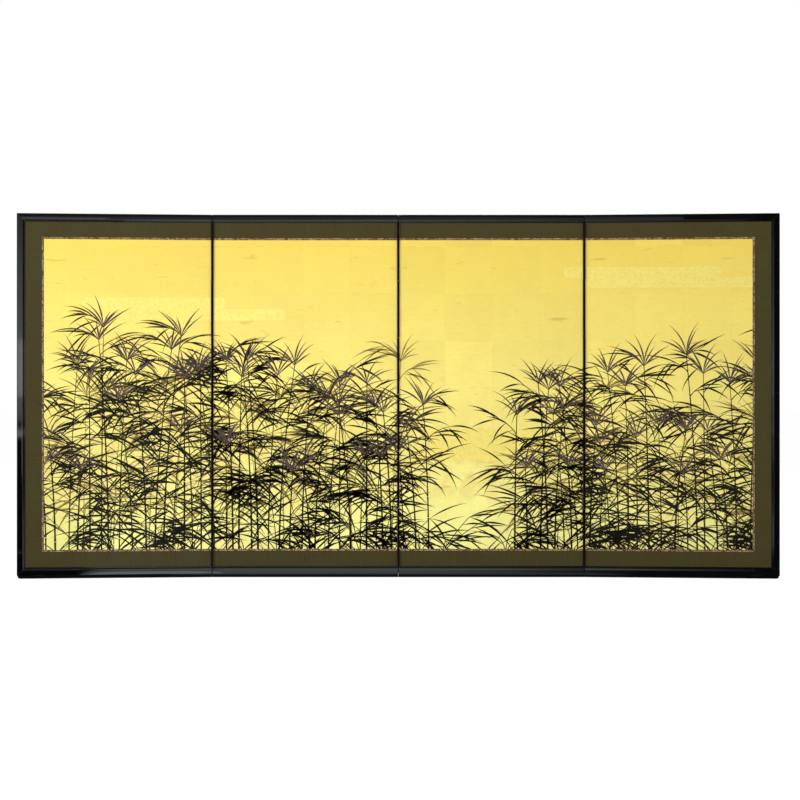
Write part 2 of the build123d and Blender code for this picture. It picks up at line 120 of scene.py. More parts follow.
def repeats(size_mm: float) -> float:
    """Return how often a pattern of a real size repeats in a metre."""
    return 1 / (size_mm * MM)


def fill(node: bpy.types.Node, inputs: dict | Sequence) -> None:
    """Fill the sockets of a node.

    Args:
        node: the node.
        inputs: what goes into its sockets, by their names or numbers, or as a list in their order. A node
            stands for the first of its outputs that is in use, and a text for an sRGB hex colour.
    """
    for key, value in inputs.items() if isinstance(inputs, dict) else enumerate(inputs):
        if isinstance(value, bpy.types.Node):
            value = next(output for output in value.outputs if output.enabled)
        if isinstance(value, bpy.types.NodeSocket):
            node.id_data.links.new(value, node.inputs[key])
        else:
            node.inputs[key].default_value = linear(value) if isinstance(value, str) else value


def add_node(tree: bpy.types.NodeTree, kind: str, inputs: dict | Sequence = (), **settings) -> bpy.types.Node:
    """Add one shader node with its settings and what goes into its sockets.

    Args:
        tree: the node tree it goes into.
        kind: the node's type, without its prefix.
        inputs: what goes into its sockets, as fill takes it.
        settings: the node's own properties.

    Returns:
        The new node.
    """
    made = tree.nodes.new("ShaderNode" + kind)
    for name, value in settings.items():
        setattr(made, name, value)
    fill(made, inputs)
    return made


def coats(node: partial, ground: bpy.types.Node | str, *layers: tuple[bpy.types.Node, str]) -> bpy.types.Node:
    """Lay colours over a ground, one after the other.

    Args:
        node: add_node, with the tree filled in.
        ground: the colour below.
        layers: for each colour, how much of it shows, and the colour.

    Returns:
        The node that gives the finished colour.
    """
    for share, colour in layers:
        ground = node("Mix", {0: share, MIX_A: ground, MIX_B: colour}, data_type="RGBA")
    return ground


def put_in_scene(name: str, points: Sequence[Vector | Place], faces: Sequence[Sequence[int]],
                 materials: Sequence[bpy.types.Material]) -> bpy.types.Object:
    """Make an object from a mesh and put it in the scene.

    Args:
        name: its name.
        points: its vertices.
        faces: vertex numbers of each face.
        materials: its materials.

    Returns:
        The object.
    """
    mesh = bpy.data.meshes.new(name)
    mesh.from_pydata([tuple(point) for point in points], [], faces)
    for material in materials:
        mesh.materials.append(material)
    made = bpy.data.objects.new(name, mesh)
    bpy.context.scene.collection.objects.link(made)
    return made


def fold_axis(joint: str) -> Vector:
    """Return a point on the axis of a fold."""
    return next(Vector(j["pos_m"]) for j in frame["joints"] if j["name"] == joint)


# Finishes

@dataclass(frozen=True)
class Finish:
    """A real finish, which builds its material the first time it is asked for.

    Lengths in mm are real ones. A pattern of 1000 / 14 mm repeats 14 times in a metre.
    """

    name: str

    def material(self) -> bpy.types.Material:
        """Build the material, unless it is there already.

        Returns:
            The material of this finish.
        """
        made = bpy.data.materials.get(self.name)
        if not made:
            made = bpy.data.materials.new(self.name)
            made.use_nodes = True
            node = partial(add_node, made.node_tree)
            surface = self.shade(node, node("TexCoord").outputs["Object"])
            fill(made.node_tree.nodes["Principled BSDF"], surface)
        return made

    def shade(self, node: partial, place: bpy.types.NodeSocket) -> Look:
        """Work out what the surface looks like.

        Args:
            node: add_node, with the tree filled in.
            place: where a point of the surface lies.

        Returns:
            What goes into the sockets of the surface's shader.
        """
        raise NotImplementedError


@dataclass(frozen=True)
class PolishedLacquer(Finish):
    """Black lacquer, sprayed in coats, rubbed down and polished.

    The eye sees a deep black with clear reflections that waver a little where the coats were rubbed by
    hand, and a slightly paler, duller line along the arrises, partly wear and partly a painted highlight
    along the edge of the lip.
    """

    name: str = "polished_black_lacquer"
    body: str = "#050506"
    # Paler tone along the arrises: partly wear, partly a painted highlight for the edge of the lip
    arris_wear_and_highlight: str = "#34322f"
    specular: float = 0.75
    gloss: Ramp = (0.3, 0.7, 0.03, 0.08)         # roughness where it was rubbed more and less
    rubbing_mm: float = 1000 / 60
    ripple_mm: float = 9.0
    ripple_depth_mm: float = 0.02
    arris_mm: float = 1.1
    arris_turns: Ramp = (0.995, 0.9)             # cosines of the turn away from the flat face

    def shade(self, node: partial, place: bpy.types.NodeSocket) -> Look:
        """Work the lacquer out, as Finish says."""
        ripple = node("TexNoise", {"Vector": place, "Scale": repeats(self.ripple_mm), "Detail": 2.0})
        rubbing = node("TexNoise", {"Vector": place, "Scale": repeats(self.rubbing_mm), "Detail": 5.0,
                                    "Roughness": 0.65})
        rounded = node("Bevel", {"Radius": self.arris_mm * MM}, samples=4)
        flat = node("NewGeometry").outputs["Normal"]
        turned = node("VectorMath", (rounded, flat), operation="DOT_PRODUCT")
        edge = node("MapRange", (turned, *self.arris_turns))
        # Where the arris tone shows: partly wear, partly a painted highlight along the lip's edge
        wear_and_highlight = node("Math", (edge, rubbing), operation="MULTIPLY")
        return {
            "Base Color": coats(node, self.body, (wear_and_highlight, self.arris_wear_and_highlight)),
            "Specular IOR Level": self.specular,
            "Roughness": node("MapRange", (rubbing, *self.gloss)),
            "Normal": node("Bump", {"Height": ripple, "Strength": 0.5, "Distance": self.ripple_depth_mm * MM,
                                    "Normal": rounded}),
        }


@dataclass(frozen=True)
class StainedWood(Finish):
    """Straight-grained softwood, stained or left bare, and rubbed with wax.

    The eye sees fine long streaks along the grain, a little paler where the wood between them is soft.
    """

    name: str
    early: str
    late: str
    along: Place = (1.0, 0.0, 0.0)       # the way the grain runs
    roughness: float = 0.5
    specular: float = 0.5
    grain_mm: float = 1.6
    grain_depth_mm: float = 0.1
    streak_ratio: float = 25.0           # length of a streak over its width

    def shade(self, node: partial, place: bpy.types.NodeSocket) -> Look:
        """Work the wood out, as Finish says."""
        squeeze = [1 - share * (1 - 1 / self.streak_ratio) for share in self.along]
        drawn = node("Mapping", {"Vector": place, "Scale": squeeze})
        grain = node("TexNoise", {"Vector": drawn, "Scale": repeats(self.grain_mm), "Detail": 6.0,
                                  "Roughness": 0.6})
        return {
            "Base Color": coats(node, self.early, (node("MapRange", (grain, *MOST_NOISE)), self.late)),
            "Specular IOR Level": self.specular,
            "Roughness": self.roughness,
            "Normal": node("Bump", {"Height": grain, "Strength": 0.3, "Distance": self.grain_depth_mm * MM}),
        }


@dataclass(frozen=True)
class MulberryPaper(Finish):
    """Handmade mulberry paper, pasted down, plain or dyed.

    The eye sees long fibres in it, a cloudy tone and a dull, slightly uneven face. On a broad face the
    sheets were pasted edge over edge, so faint level joints show.
    """

    name: str
    ground: str
    cloud: str
    fibre: str
    roughness: float = 0.85
    specular: float = 0.25
    cloud_mm: float = 1000 / 14
    fibre_mm: float = 0.5                # drawn several times as wide as real fibres, so that they show
    fibre_bend_mm: float = 28.0
    fibre_part_mm: float = 28.0 / 2.6    # how long a fibre lies on top
    fibre_parts: Ramp = (0.5, 0.58)
    fibre_tone: float = 0.5              # share of its colour that shows
    sheet_mm: float = 0.0                # height of one sheet, where joints show
    lap_mm: float = 8.0
    lap_rise: float = 0.7                # as a share of the depth
    depth_mm: float = 0.15

    def shade(self, node: partial, place: bpy.types.NodeSocket) -> Look:
        """Work the paper out, as Finish says."""
        cloud = node("TexNoise", {"Vector": place, "Scale": repeats(self.cloud_mm), "Detail": 5.0,
                                  "Roughness": 0.6})
        bends = node("TexNoise", {"Vector": place, "Scale": repeats(self.fibre_bend_mm), "Detail": 1.5,
                                  "Distortion": 1.6})
        off_middle = node("Math", (bends, 0.5), operation="SUBTRACT")
        away = node("Math", (off_middle,), operation="ABSOLUTE")
        line = node("MapRange", (away, 0.0, self.fibre_mm / self.fibre_bend_mm, self.fibre_tone, 0.0))
        parts = node("TexNoise", {"Vector": place, "Scale": repeats(self.fibre_part_mm), "Detail": 0.0})
        kept = node("MapRange", (parts, *self.fibre_parts))
        relief = thread = node("Math", (line, kept), operation="MULTIPLY")
        colour = coats(node, self.ground, (node("MapRange", (cloud, *MOST_NOISE)), self.cloud),
                       (thread, self.fibre))
        if self.sheet_mm:
            height = node("SeparateXYZ", (place,)).outputs["Z"]
            sheets = node("Math", (height, self.sheet_mm * MM), operation="DIVIDE")
            part = node("Math", (sheets,), operation="FRACT")
            lap = node("Math", (part, self.lap_mm / self.sheet_mm), operation="LESS_THAN")
            relief = node("Math", (lap, self.lap_rise, thread), operation="MULTIPLY_ADD")
            colour = coats(node, colour, (lap, self.cloud))
        return {
            "Base Color": colour,
            "Specular IOR Level": self.specular,
            "Roughness": self.roughness,
            "Normal": node("Bump", {"Height": relief, "Strength": 0.5, "Distance": self.depth_mm * MM}),
        }


@dataclass(frozen=True)
class GoldLeaf(Finish):
    """Beaten gold leaf laid on sized paper in squares of 109 mm, each over the edge of the last.

    The eye sees squares that differ a little in tone, a fine line at each overlap, soft mottling, and
    small creases and skips from the laying. The leaf is deep in tone at the head and paler towards the
    foot, a painted sheen, and under the thicket it was toned here and there with a thin ochre wash. It
    shines broadly, not like a mirror.
    """

    name: str = "gold_leaf_squares"
    # The paler foot tone is a painted sheen, not a change in the leaf
    head: str = "#f8dc5e"
    foot: str = "#fbf898"
    wash: str = "#e3c768"
    overlap: str = "#dfb94c"
    skip: str = "#cfa545"
    metallic: float = 0.35
    gloss: Ramp = (*MOST_NOISE, 0.36, 0.5)
    square_mm: float = 109.0
    square_tones: float = 0.07           # how much one square may be darker than the next
    lap_mm: float = 0.5
    lap_breaks_mm: float = 1000 / 70
    lap_breaks: Ramp = (0.42, 0.62, 0.0, 0.75)
    waver_mm: float = 2.4                # how far an edge strays
    waver_size_mm: float = 1000 / 11
    painted_sheen_heights_mm: Ramp = (770.0, 100.0)       # heights between which the tone turns paler
    wash_mm: tuple[float, ...] = (110.0, 200.0, 330.0, 460.0)    # where it starts, is full and ends
    wash_patch_mm: float = 1000 / 26
    wash_patches: Ramp = (0.4, 0.56, 0.0, 0.45)
    cloud_mm: float = 1000 / 7
    rub_mm: float = 1000 / 90
    rub_squeeze: Place = (0.5, 1.0, 2.2)         # the marks of the rubbing lie level
    rub_share: float = 0.45              # of the mottling, beside the clouds
    mottling: Ramp = (0.42, 0.6, 0.0, 0.3)
    crease_mm: float = 1000 / 14.4
    crease_squeeze: Place = (1.0, 1.0, 20 / 3)
    crease_slope: float = 0.35           # in radians
    creases: Ramp = (0.66, 0.74, 0.0, 0.5)
    speck_mm: float = 1000 / 260
    specks: Ramp = (0.72, 0.78, 0.0, 0.5)
    depth_mm: float = 0.05

    def shade(self, node: partial, place: bpy.types.NodeSocket) -> Look:
        """Work the gold out, as Finish says."""
        axes = node("SeparateXYZ", (place,))
        height = axes.outputs["Z"]
        cloud = node("TexNoise", {"Vector": place, "Scale": repeats(self.cloud_mm), "Detail": 8.0,
                                  "Roughness": 0.62})

        wander = node("TexNoise", {"Vector": place, "Scale": repeats(self.waver_size_mm), "Detail": 3.0})
        shift = node("VectorMath", (wander.outputs["Color"], (self.waver_mm * MM,) * 3), operation="MULTIPLY")
        flat = node("CombineXYZ", {"X": axes.outputs["X"], "Y": height})
        laid = node("VectorMath", (flat, shift), operation="ADD")
        side = self.square_mm * MM
        squares = node("TexBrick", {"Vector": laid, "Scale": 1.0, "Brick Width": side, "Row Height": side,
                                    "Mortar Size": self.lap_mm * MM, "Mortar Smooth": 0.8,
                                    "Color1": "#ffffff", "Color2": (*(1 - self.square_tones,) * 3, 1.0),
                                    "Mortar": "#ffffff"}, offset=0.0)
        # Paler towards the foot: a painted sheen
        paler = node("MapRange", (height, *(z * MM for z in self.painted_sheen_heights_mm)))
        toned = node("Mix", {0: 1.0, MIX_A: coats(node, self.head, (paler, self.foot)), MIX_B: squares},
                     data_type="RGBA", blend_type="MULTIPLY")

        starts, full, fades, ends = (z * MM for z in self.wash_mm)
        rising = node("MapRange", (height, starts, full))
        falling = node("MapRange", (height, ends, fades))
        belt = node("Math", (rising, falling), operation="MINIMUM")
        patches = node("TexNoise", {"Vector": place, "Scale": repeats(self.wash_patch_mm), "Detail": 4.0,
                                    "Roughness": 0.6})
        washed = node("Math", (belt, node("MapRange", (patches, *self.wash_patches))), operation="MULTIPLY")
        lying = node("Mapping", {"Vector": place, "Scale": self.rub_squeeze})
        rubbed = node("TexNoise", {"Vector": lying, "Scale": repeats(self.rub_mm), "Detail": 5.0,
                                   "Roughness": 0.75})
        tone = node("Mix", {0: self.rub_share, 2: cloud, 3: rubbed}, data_type="FLOAT")
        darker = node("Math", (washed, node("MapRange", (tone, *self.mottling))), operation="MAXIMUM")

        broken = node("TexNoise", {"Vector": place, "Scale": repeats(self.lap_breaks_mm), "Detail": 3.0})
        breaks = node("MapRange", (broken, *self.lap_breaks))
        seam = node("Math", (squares.outputs["Fac"], breaks), operation="MULTIPLY")
        drawn = node("Mapping", {"Vector": place, "Rotation": (0.0, self.crease_slope, 0.0),
                                 "Scale": self.crease_squeeze})
        crease = node("TexNoise", {"Vector": drawn, "Scale": repeats(self.crease_mm), "Detail": 4.0,
                                   "Distortion": 0.6})
        speck = node("TexNoise", {"Vector": place, "Scale": repeats(self.speck_mm), "Detail": 2.0})
        faults = node("Math", (node("MapRange", (crease, *self.creases)),
                               node("MapRange", (speck, *self.specks))), operation="MAXIMUM")
        relief = node("Math", (seam, faults), operation="ADD")
        return {
            "Base Color": coats(node, toned, (darker, self.wash), (seam, self.overlap), (faults, self.skip)),
            "Metallic": self.metallic,
            "Roughness": node("MapRange", (cloud, *self.gloss)),
            "Normal": node("Bump", {"Height": relief, "Strength": 0.35, "Distance": self.depth_mm * MM}),
        }


@dataclass(frozen=True)
class LeafDust(Finish):
    """Cut gold leaf and gold dust, sifted over wet size to make bands of mist.

    The eye sees a paler, finer-grained gold than the laid squares, with single flakes in it.
    """

    name: str = "sifted_gold_dust"
    dust: str = "#fae87c"
    flake: str = "#f3dc6a"
    metallic: float = 0.45
    roughness: float = 0.5
    flake_mm: float = 5.0
    bare_share: float = 0.55             # of the places, that have no flake
    dust_mm: float = 1000 / 300
    depth_mm: float = 0.04

    def shade(self, node: partial, place: bpy.types.NodeSocket) -> Look:
        """Work the dust out, as Finish says."""
        flakes = node("TexVoronoi", {"Vector": place, "Scale": repeats(self.flake_mm)}, distance="CHEBYCHEV")
        grain = node("TexNoise", {"Vector": place, "Scale": repeats(self.dust_mm), "Detail": 2.0})
        picked = node("Math", (flakes.outputs["Color"], self.bare_share), operation="GREATER_THAN")
        share = node("Math", (picked, grain), operation="MULTIPLY")
        return {
            "Base Color": coats(node, self.dust, (share, self.flake)),
            "Metallic": self.metallic,
            "Roughness": self.roughness,
            "Normal": node("Bump", {"Height": grain, "Strength": 0.3, "Distance": self.depth_mm * MM}),
        }


@dataclass(frozen=True)
class SootInk(Finish):
    """Ink of soot and glue, brushed on gold leaf, where it lies on the metal and hardly sinks in.

    The eye sees a nearly even dark tone that thins and browns where the brush ran dry, and a low gloss.
    """

    name: str
    full: str
    dry: str
    roughness: float = 0.62
    specular: float = 0.2
    load_mm: float = 1000 / 48
    dry_parts: Ramp = (0.48, 0.72)

    def shade(self, node: partial, place: bpy.types.NodeSocket) -> Look:
        """Work the ink out, as Finish says."""
        load = node("TexNoise", {"Vector": place, "Scale": repeats(self.load_mm), "Detail": 4.0,
                                 "Roughness": 0.7})
        thin = node("MapRange", (load, *self.dry_parts))
        return {"Base Color": coats(node, self.full, (thin, self.dry)), "Roughness": self.roughness,
                "Specular IOR Level": self.specular}


@dataclass(frozen=True)
class SilkBrocade(Finish):
    """Olive silk, woven in a twill ground with a small scroll figure of nearly the same colour.

    The eye sees an even dark cloth. The figure shows only as short hooked floats a shade lighter or
    darker than the ground, fine ribs cross it, and the dye drifts between green and brown.
    """

    name: str
    turned: bool                         # True where the cloth was laid with its length upright
    ground: str = "#3c3719"
    green: str = "#3b391b"
    brown: str = "#3d3419"
    float_light: str = "#464023"
    float_dark: str = "#2f2912"
    roughness: float = 0.72
    specular: float = 0.12
    sheen: float = 0.015
    drift_mm: float = 1000 / 13
    greener: Ramp = (0.51, 0.62)
    browner: Ramp = (0.51, 0.4)
    scroll_mm: float = 8.0
    scroll_parts: Ramp = (0.55, 0.3)     # distances from the middle of a figure where it ends
    light_floats: Ramp = (0.72, 0.9, 0.0, 0.35)
    dark_floats: Ramp = (0.3, 0.1, 0.0, 0.4)
    twill_mm: float = 2.6                # some six threads of 0.4 mm, so that the ribs show
    twill_slope: float = 62.0            # in degrees
    ribs: Ramp = (0.0, 1.0, 0.0, 0.2)
    relief_mm: float = 0.08

    def shade(self, node: partial, place: bpy.types.NodeSocket) -> Look:
        """Work the cloth out, as Finish says."""
        axes = node("SeparateXYZ", (place,))
        along, across = ("Z", "X") if self.turned else ("X", "Z")
        cloth = node("CombineXYZ", {"X": axes.outputs[along], "Y": axes.outputs[across]})
        drift = node("TexNoise", {"Vector": cloth, "Scale": repeats(self.drift_mm), "Detail": 5.0,
                                  "Roughness": 0.65})
        scroll = node("TexWave", {"Vector": cloth, "Scale": WAVE_REPEAT * repeats(self.scroll_mm),
                                  "Distortion": 9.0, "Detail": 1.0, "Detail Scale": 0.7}).outputs["Fac"]
        middles = node("TexVoronoi", {"Vector": cloth, "Scale": repeats(self.scroll_mm)})
        shown = node("MapRange", (middles, *self.scroll_parts))
        ribbed = node("Mapping", {"Vector": cloth, "Rotation": (0.0, 0.0, math.radians(self.twill_slope))})
        twill = node("TexWave", {"Vector": ribbed, "Scale": WAVE_REPEAT * repeats(self.twill_mm),
                                 "Distortion": 0.6, "Detail": 2.0, "Detail Scale": 2.0}).outputs["Fac"]
        layers = [(node("MapRange", (drift, *self.greener)), self.green),
                  (node("MapRange", (drift, *self.browner)), self.brown)]
        for tone, ramp in ((self.float_light, self.light_floats), (self.float_dark, self.dark_floats)):
            crest = node("MapRange", (scroll, *ramp))
            layers.append((node("Math", (crest, shown), operation="MULTIPLY"), tone))
        layers.append((node("MapRange", (twill, *self.ribs)), self.float_light))
        height = node("Math", (twill, 0.5, scroll), operation="MULTIPLY_ADD")
        return {
            "Base Color": coats(node, self.ground, *layers),
            "Specular IOR Level": self.specular,
            "Roughness": self.roughness,
            "Sheen Weight": self.sheen,
            "Normal": node("Bump", {"Height": height, "Strength": 0.5, "Distance": self.relief_mm * MM}),
        }


@dataclass(frozen=True)
class BraidSilk(Finish):
    """Silk or gilt thread, plaited or woven into a narrow trim.

    The eye sees single threads of a lighter and a darker shade that follow the braid, with a low sheen.
    """

    name: str
    thread: str
    shade_thread: str
    metallic: float = 0.0
    roughness: float = 0.5
    thread_mm: float = 1.0               # two real threads, so that they show
    group: float = 3.0                   # threads of one shade beside each other
    shades: Ramp = (0.4, 0.6)
    relief_mm: float = 0.08

    def shade(self, node: partial, place: bpy.types.NodeSocket) -> Look:
        """Work the thread out, as Finish says."""
        tone = node("TexNoise", {"Vector": place, "Scale": repeats(self.thread_mm * self.group),
                                 "Detail": 3.0})
        shaded = node("MapRange", (tone, *self.shades))
        fine = node("TexNoise", {"Vector": place, "Scale": repeats(self.thread_mm), "Detail": 1.0})
        return {
            "Base Color": coats(node, self.thread, (shaded, self.shade_thread)),
            "Metallic": self.metallic,
            "Roughness": self.roughness,
            "Normal": node("Bump", {"Height": fine, "Strength": 0.5, "Distance": self.relief_mm * MM}),
        }


class Thread(Enum):
    """The threads of the trim, by their places among its finishes."""

    PALE = 0
    BROWN = 1
    GILT = 2


class Tone(Enum):
    """The inks of the painting, each with the layer that it lies in, counted from the mist."""

    FAR = 1
    NEAR = 2
    CROWN = 3


TRIM_SILKS: dict[Thread, BraidSilk] = {
    Thread.PALE: BraidSilk("pale_twisted_silk", "#c4ab88", "#94785a"),
    Thread.BROWN: BraidSilk("brown_band_silk", "#5f4326", "#432d17"),
    Thread.GILT: BraidSilk("gilt_picks", "#d9bd80", "#b08f4e", 0.5),
}
INKS: dict[Tone, SootInk] = {
    Tone.FAR: SootInk("thin_brown_ink", "#8c7a3c", "#ab9547"),
    Tone.NEAR: SootInk("full_black_ink", "#1c190e", "#2c2716"),
    Tone.CROWN: SootInk("grey_brown_ink", "#4b3d37", "#5d4d45"),
}
MIST_GOLD = LeafDust()
DYED_HINGE_PAPER = MulberryPaper("dyed_hinge_paper", "#100302", "#160504", "#1b0806", 0.8, 0.1)

# What each material slot that keeps its CAD nodes is made of
WOODWORK: dict[str, Finish] = {
    "black_lacquer": PolishedLacquer(),
    # The runner's near-black also stands in for the contact shadow under the bottom rail: partly a painted shadow
    "glide_strip": StainedWood("black_runner_and_painted_shadow", "#060606", "#0a0909", roughness=0.6, specular=0.06),
    "fold_slip_lacquer": StainedWood("dark_brown_slip", "#0d0302", "#140604", (0, 0, 1), 0.5, 0.12),
    "cedar_lattice": StainedWood("planed_cedar", "#c9a06c", "#a97c4d", (0, 0, 1), 0.65),
    "bamboo_pins": StainedWood("split_bamboo", "#cdb277", "#b3965b", (0, 1, 0), 0.5),
    "lining_paper": MulberryPaper("lining_paper", "#d9cfb6", "#cdbf9f", "#e6dfcb"),
    "gold_leaf_picture": GoldLeaf(),
    "back_paper": MulberryPaper("olive_back_paper", "#4d4a38", "#565340", "#6b6753", sheet_mm=272.0),
}


# The panels

@dataclass(frozen=True)
class PanelPlace:
    """Where one panel stands: its place in the screen laid flat, turned by its rest angle about a fold.

    Flat coordinates are x along the screen, y towards the back and z up, in metres.
    """

    number: int
    angle: float = 0.0           # degrees about Z at rest
    fold: str = ""               # the joint whose axis it is turned about
    stile: Side | None = None    # the side that has a frame stile

    @property
    def body(self) -> str:
        """Name of the panel's body."""
        return f"panel_{self.number}"

    def turn(self) -> Matrix:
        """Work out how the panel was moved.

        Returns:
            The matrix from flat coordinates to where the panel stands.
        """
        if not self.fold:
            return Matrix.Identity(4)
        pivot = fold_axis(self.fold)
        turned = Matrix.Rotation(math.radians(self.angle), 4, "Z")
        return Matrix.Translation(pivot) @ turned @ Matrix.Translation(-pivot)

    def flat_box(self, part: str) -> tuple[Vector, Vector]:
        """Measure one of the panel's CAD nodes in flat coordinates.

        Args:
            part: the node's name without the panel's.

        Returns:
            Its lowest and highest corners.
        """
        back = self.turn().inverted()
        points = [back @ v.co for v in frame["nodes"][f"{self.body}_{part}"].data.vertices]
        return tuple(Vector(end(p[i] for p in points) for i in range(3)) for end in (min, max))

    def piece(self, name: str, points: Sequence[Vector], faces: Sequence[Sequence[int]],
              finishes: Sequence[Finish], pick: Sequence[int] = ()) -> bpy.types.Object:
        """Make a piece of this panel from a mesh in flat coordinates.

        Args:
            name: what the piece is, after the panel's name.
            points: its vertices.
            faces: vertex numbers of each face.
            finishes: its finishes.
            pick: the number of each face's finish, if there is more than one.

        Returns:
            The piece, riding on the panel's body.
        """
        made = put_in_scene(f"{self.body}_{name}", points, faces, [finish.material() for finish in finishes])
        made.data.transform(self.turn())
        if pick:
            made.data.polygons.foreach_set("material_index", pick)
        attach(made, self.body)
        LOG.info("%s: %d faces, rides on %s", made.name, len(faces), self.body)
        return made


@dataclass(frozen=True)
class Edge:
    """One edge of a panel's border in flat x and z: its outer line and its inner line."""

    name: str
    outer: tuple[Point, Point]
    inner: tuple[Point, Point]
    upright: bool

    def at(self, along: float, across: float) -> Point:
        """Return the point at two shares: along the edge, and from its outer to its inner line."""
        lines = [[p + (q - p) * along for p, q in zip(*line)] for line in (self.outer, self.inner)]
        return tuple(p + (q - p) * across for p, q in zip(*lines))

    @property
    def length(self) -> float:
        """Length of the outer line."""
        return math.dist(*self.outer)

    @property
    def width(self) -> float:
        """Distance between the two lines."""
        flat = 0 if self.upright else 1
        return abs(self.inner[0][flat] - self.outer[0][flat])

    @property
    def area(self) -> float:
        """Area between the two lines."""
        return self.width * (self.length + math.dist(*self.inner)) / 2


def border_edges(low: Vector, high: Vector, cap: float, side: float, stile: Side | None) -> Iterator[Edge]:
    """Split a panel's border into its edges, mitred where a side has a stile.

    Args:
        low: lowest corner of the border.
        high: highest corner of the border.
        cap: width of the top and bottom edges.
        side: width of the side edge.
        stile: the side that has one, if any.

    Yields:
        The top, the bottom and, at a stile, the side edge.
    """
    x_in = [low.x + (side if stile is Side.LEFT else 0), high.x - (side if stile is Side.RIGHT else 0)]
    for level, z in ((Level.TOP, high.z), (Level.BOTTOM, low.z)):
        z_in = z - level.value * cap
        yield Edge(level.name.lower(), ((low.x, z), (high.x, z)), ((x_in[0], z_in), (x_in[1], z_in)), False)
    if stile:
        x, x_side = (low.x, x_in[0]) if stile is Side.LEFT else (high.x, x_in[1])
        yield Edge("side", ((x, low.z), (x, high.z)), ((x_side, low.z + cap), (x_side, high.z - cap)), True)


def sweep(*solids: Sequence[Sequence[Vector]]) -> tuple[list[Vector], list[list[int]]]:
    """Join closed outlines, one after the other, into solids with flat ends.

    Args:
        solids: for each solid its outlines, with the same number of points each.

    Returns:
        The points and the faces. Those of a solid are its sides ring by ring, then its two ends.
    """
    points, faces = [], []
    for rings in solids:
        first, count = len(points), len(rings[0])
        points += [point for ring in rings for point in ring]
        for start in range(first, len(points) - count, count):
            for j in range(count):
                beside = (j + 1) % count
                faces.append([start + j, start + beside, start + count + beside, start + count + j])
        faces += [list(range(first, first + count))[::-1], list(range(len(points) - count, len(points)))]
    return points, faces


@dataclass(frozen=True)
class BrocadeBorder:
    """The brocade strips of one panel, pasted over the lining and mitred at a stile."""

    place: PanelPlace
    cell_mm: float = 5.0
    pucker_mm: float = 0.12      # how far the pasted cloth sinks and rises
    pucker_size_mm: float = 38.0

    def build(self) -> None:
        """Make each strip of the border, cut from cloth of its own."""
        low, high = self.place.flat_box("brocade_border")
        picture_low, picture_high = self.place.flat_box("picture")
        cap = picture_low.z - low.z
        side = max(picture_low.x - low.x, high.x - picture_high.x)
        for edge in border_edges(low, high, cap, side, self.place.stile):
            strip = self.strip(edge, low.y, high.y)
            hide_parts(f"{self.place.body}_brocade_border")
            edge.length
            edge.area

    def strip(self, edge: Edge, front: float, back: float) -> bpy.types.Object:
        """Make one strip as a thin closed sheet.

        Args:
            edge: where it lies.
            front: y of its face.
            back: y of its back.

        Returns:
            The strip.
        """
        columns = round(edge.length / (self.cell_mm * MM))
        rows = round(edge.width / (self.cell_mm * MM))
        rings = []
        for i in range(columns + 1):
            faced = []
            for j in range(rows + 1):
                x, z = edge.at(i / columns, j / rows)
                wave = noise.noise(Vector((x, z, self.place.number)) / (self.pucker_size_mm * MM))
                faced.append(Vector((x, front + (1 + wave) / 2 * self.pucker_mm * MM, z)))
            rings.append(faced + [Vector((p.x, back, p.z)) for p in (faced[-1], faced[0])])
        finish = SilkBrocade("upright_silk_brocade" if edge.upright else "level_silk_brocade", edge.upright)
        return self.place.piece(f"brocade_{edge.name}", *sweep(rings), [finish])


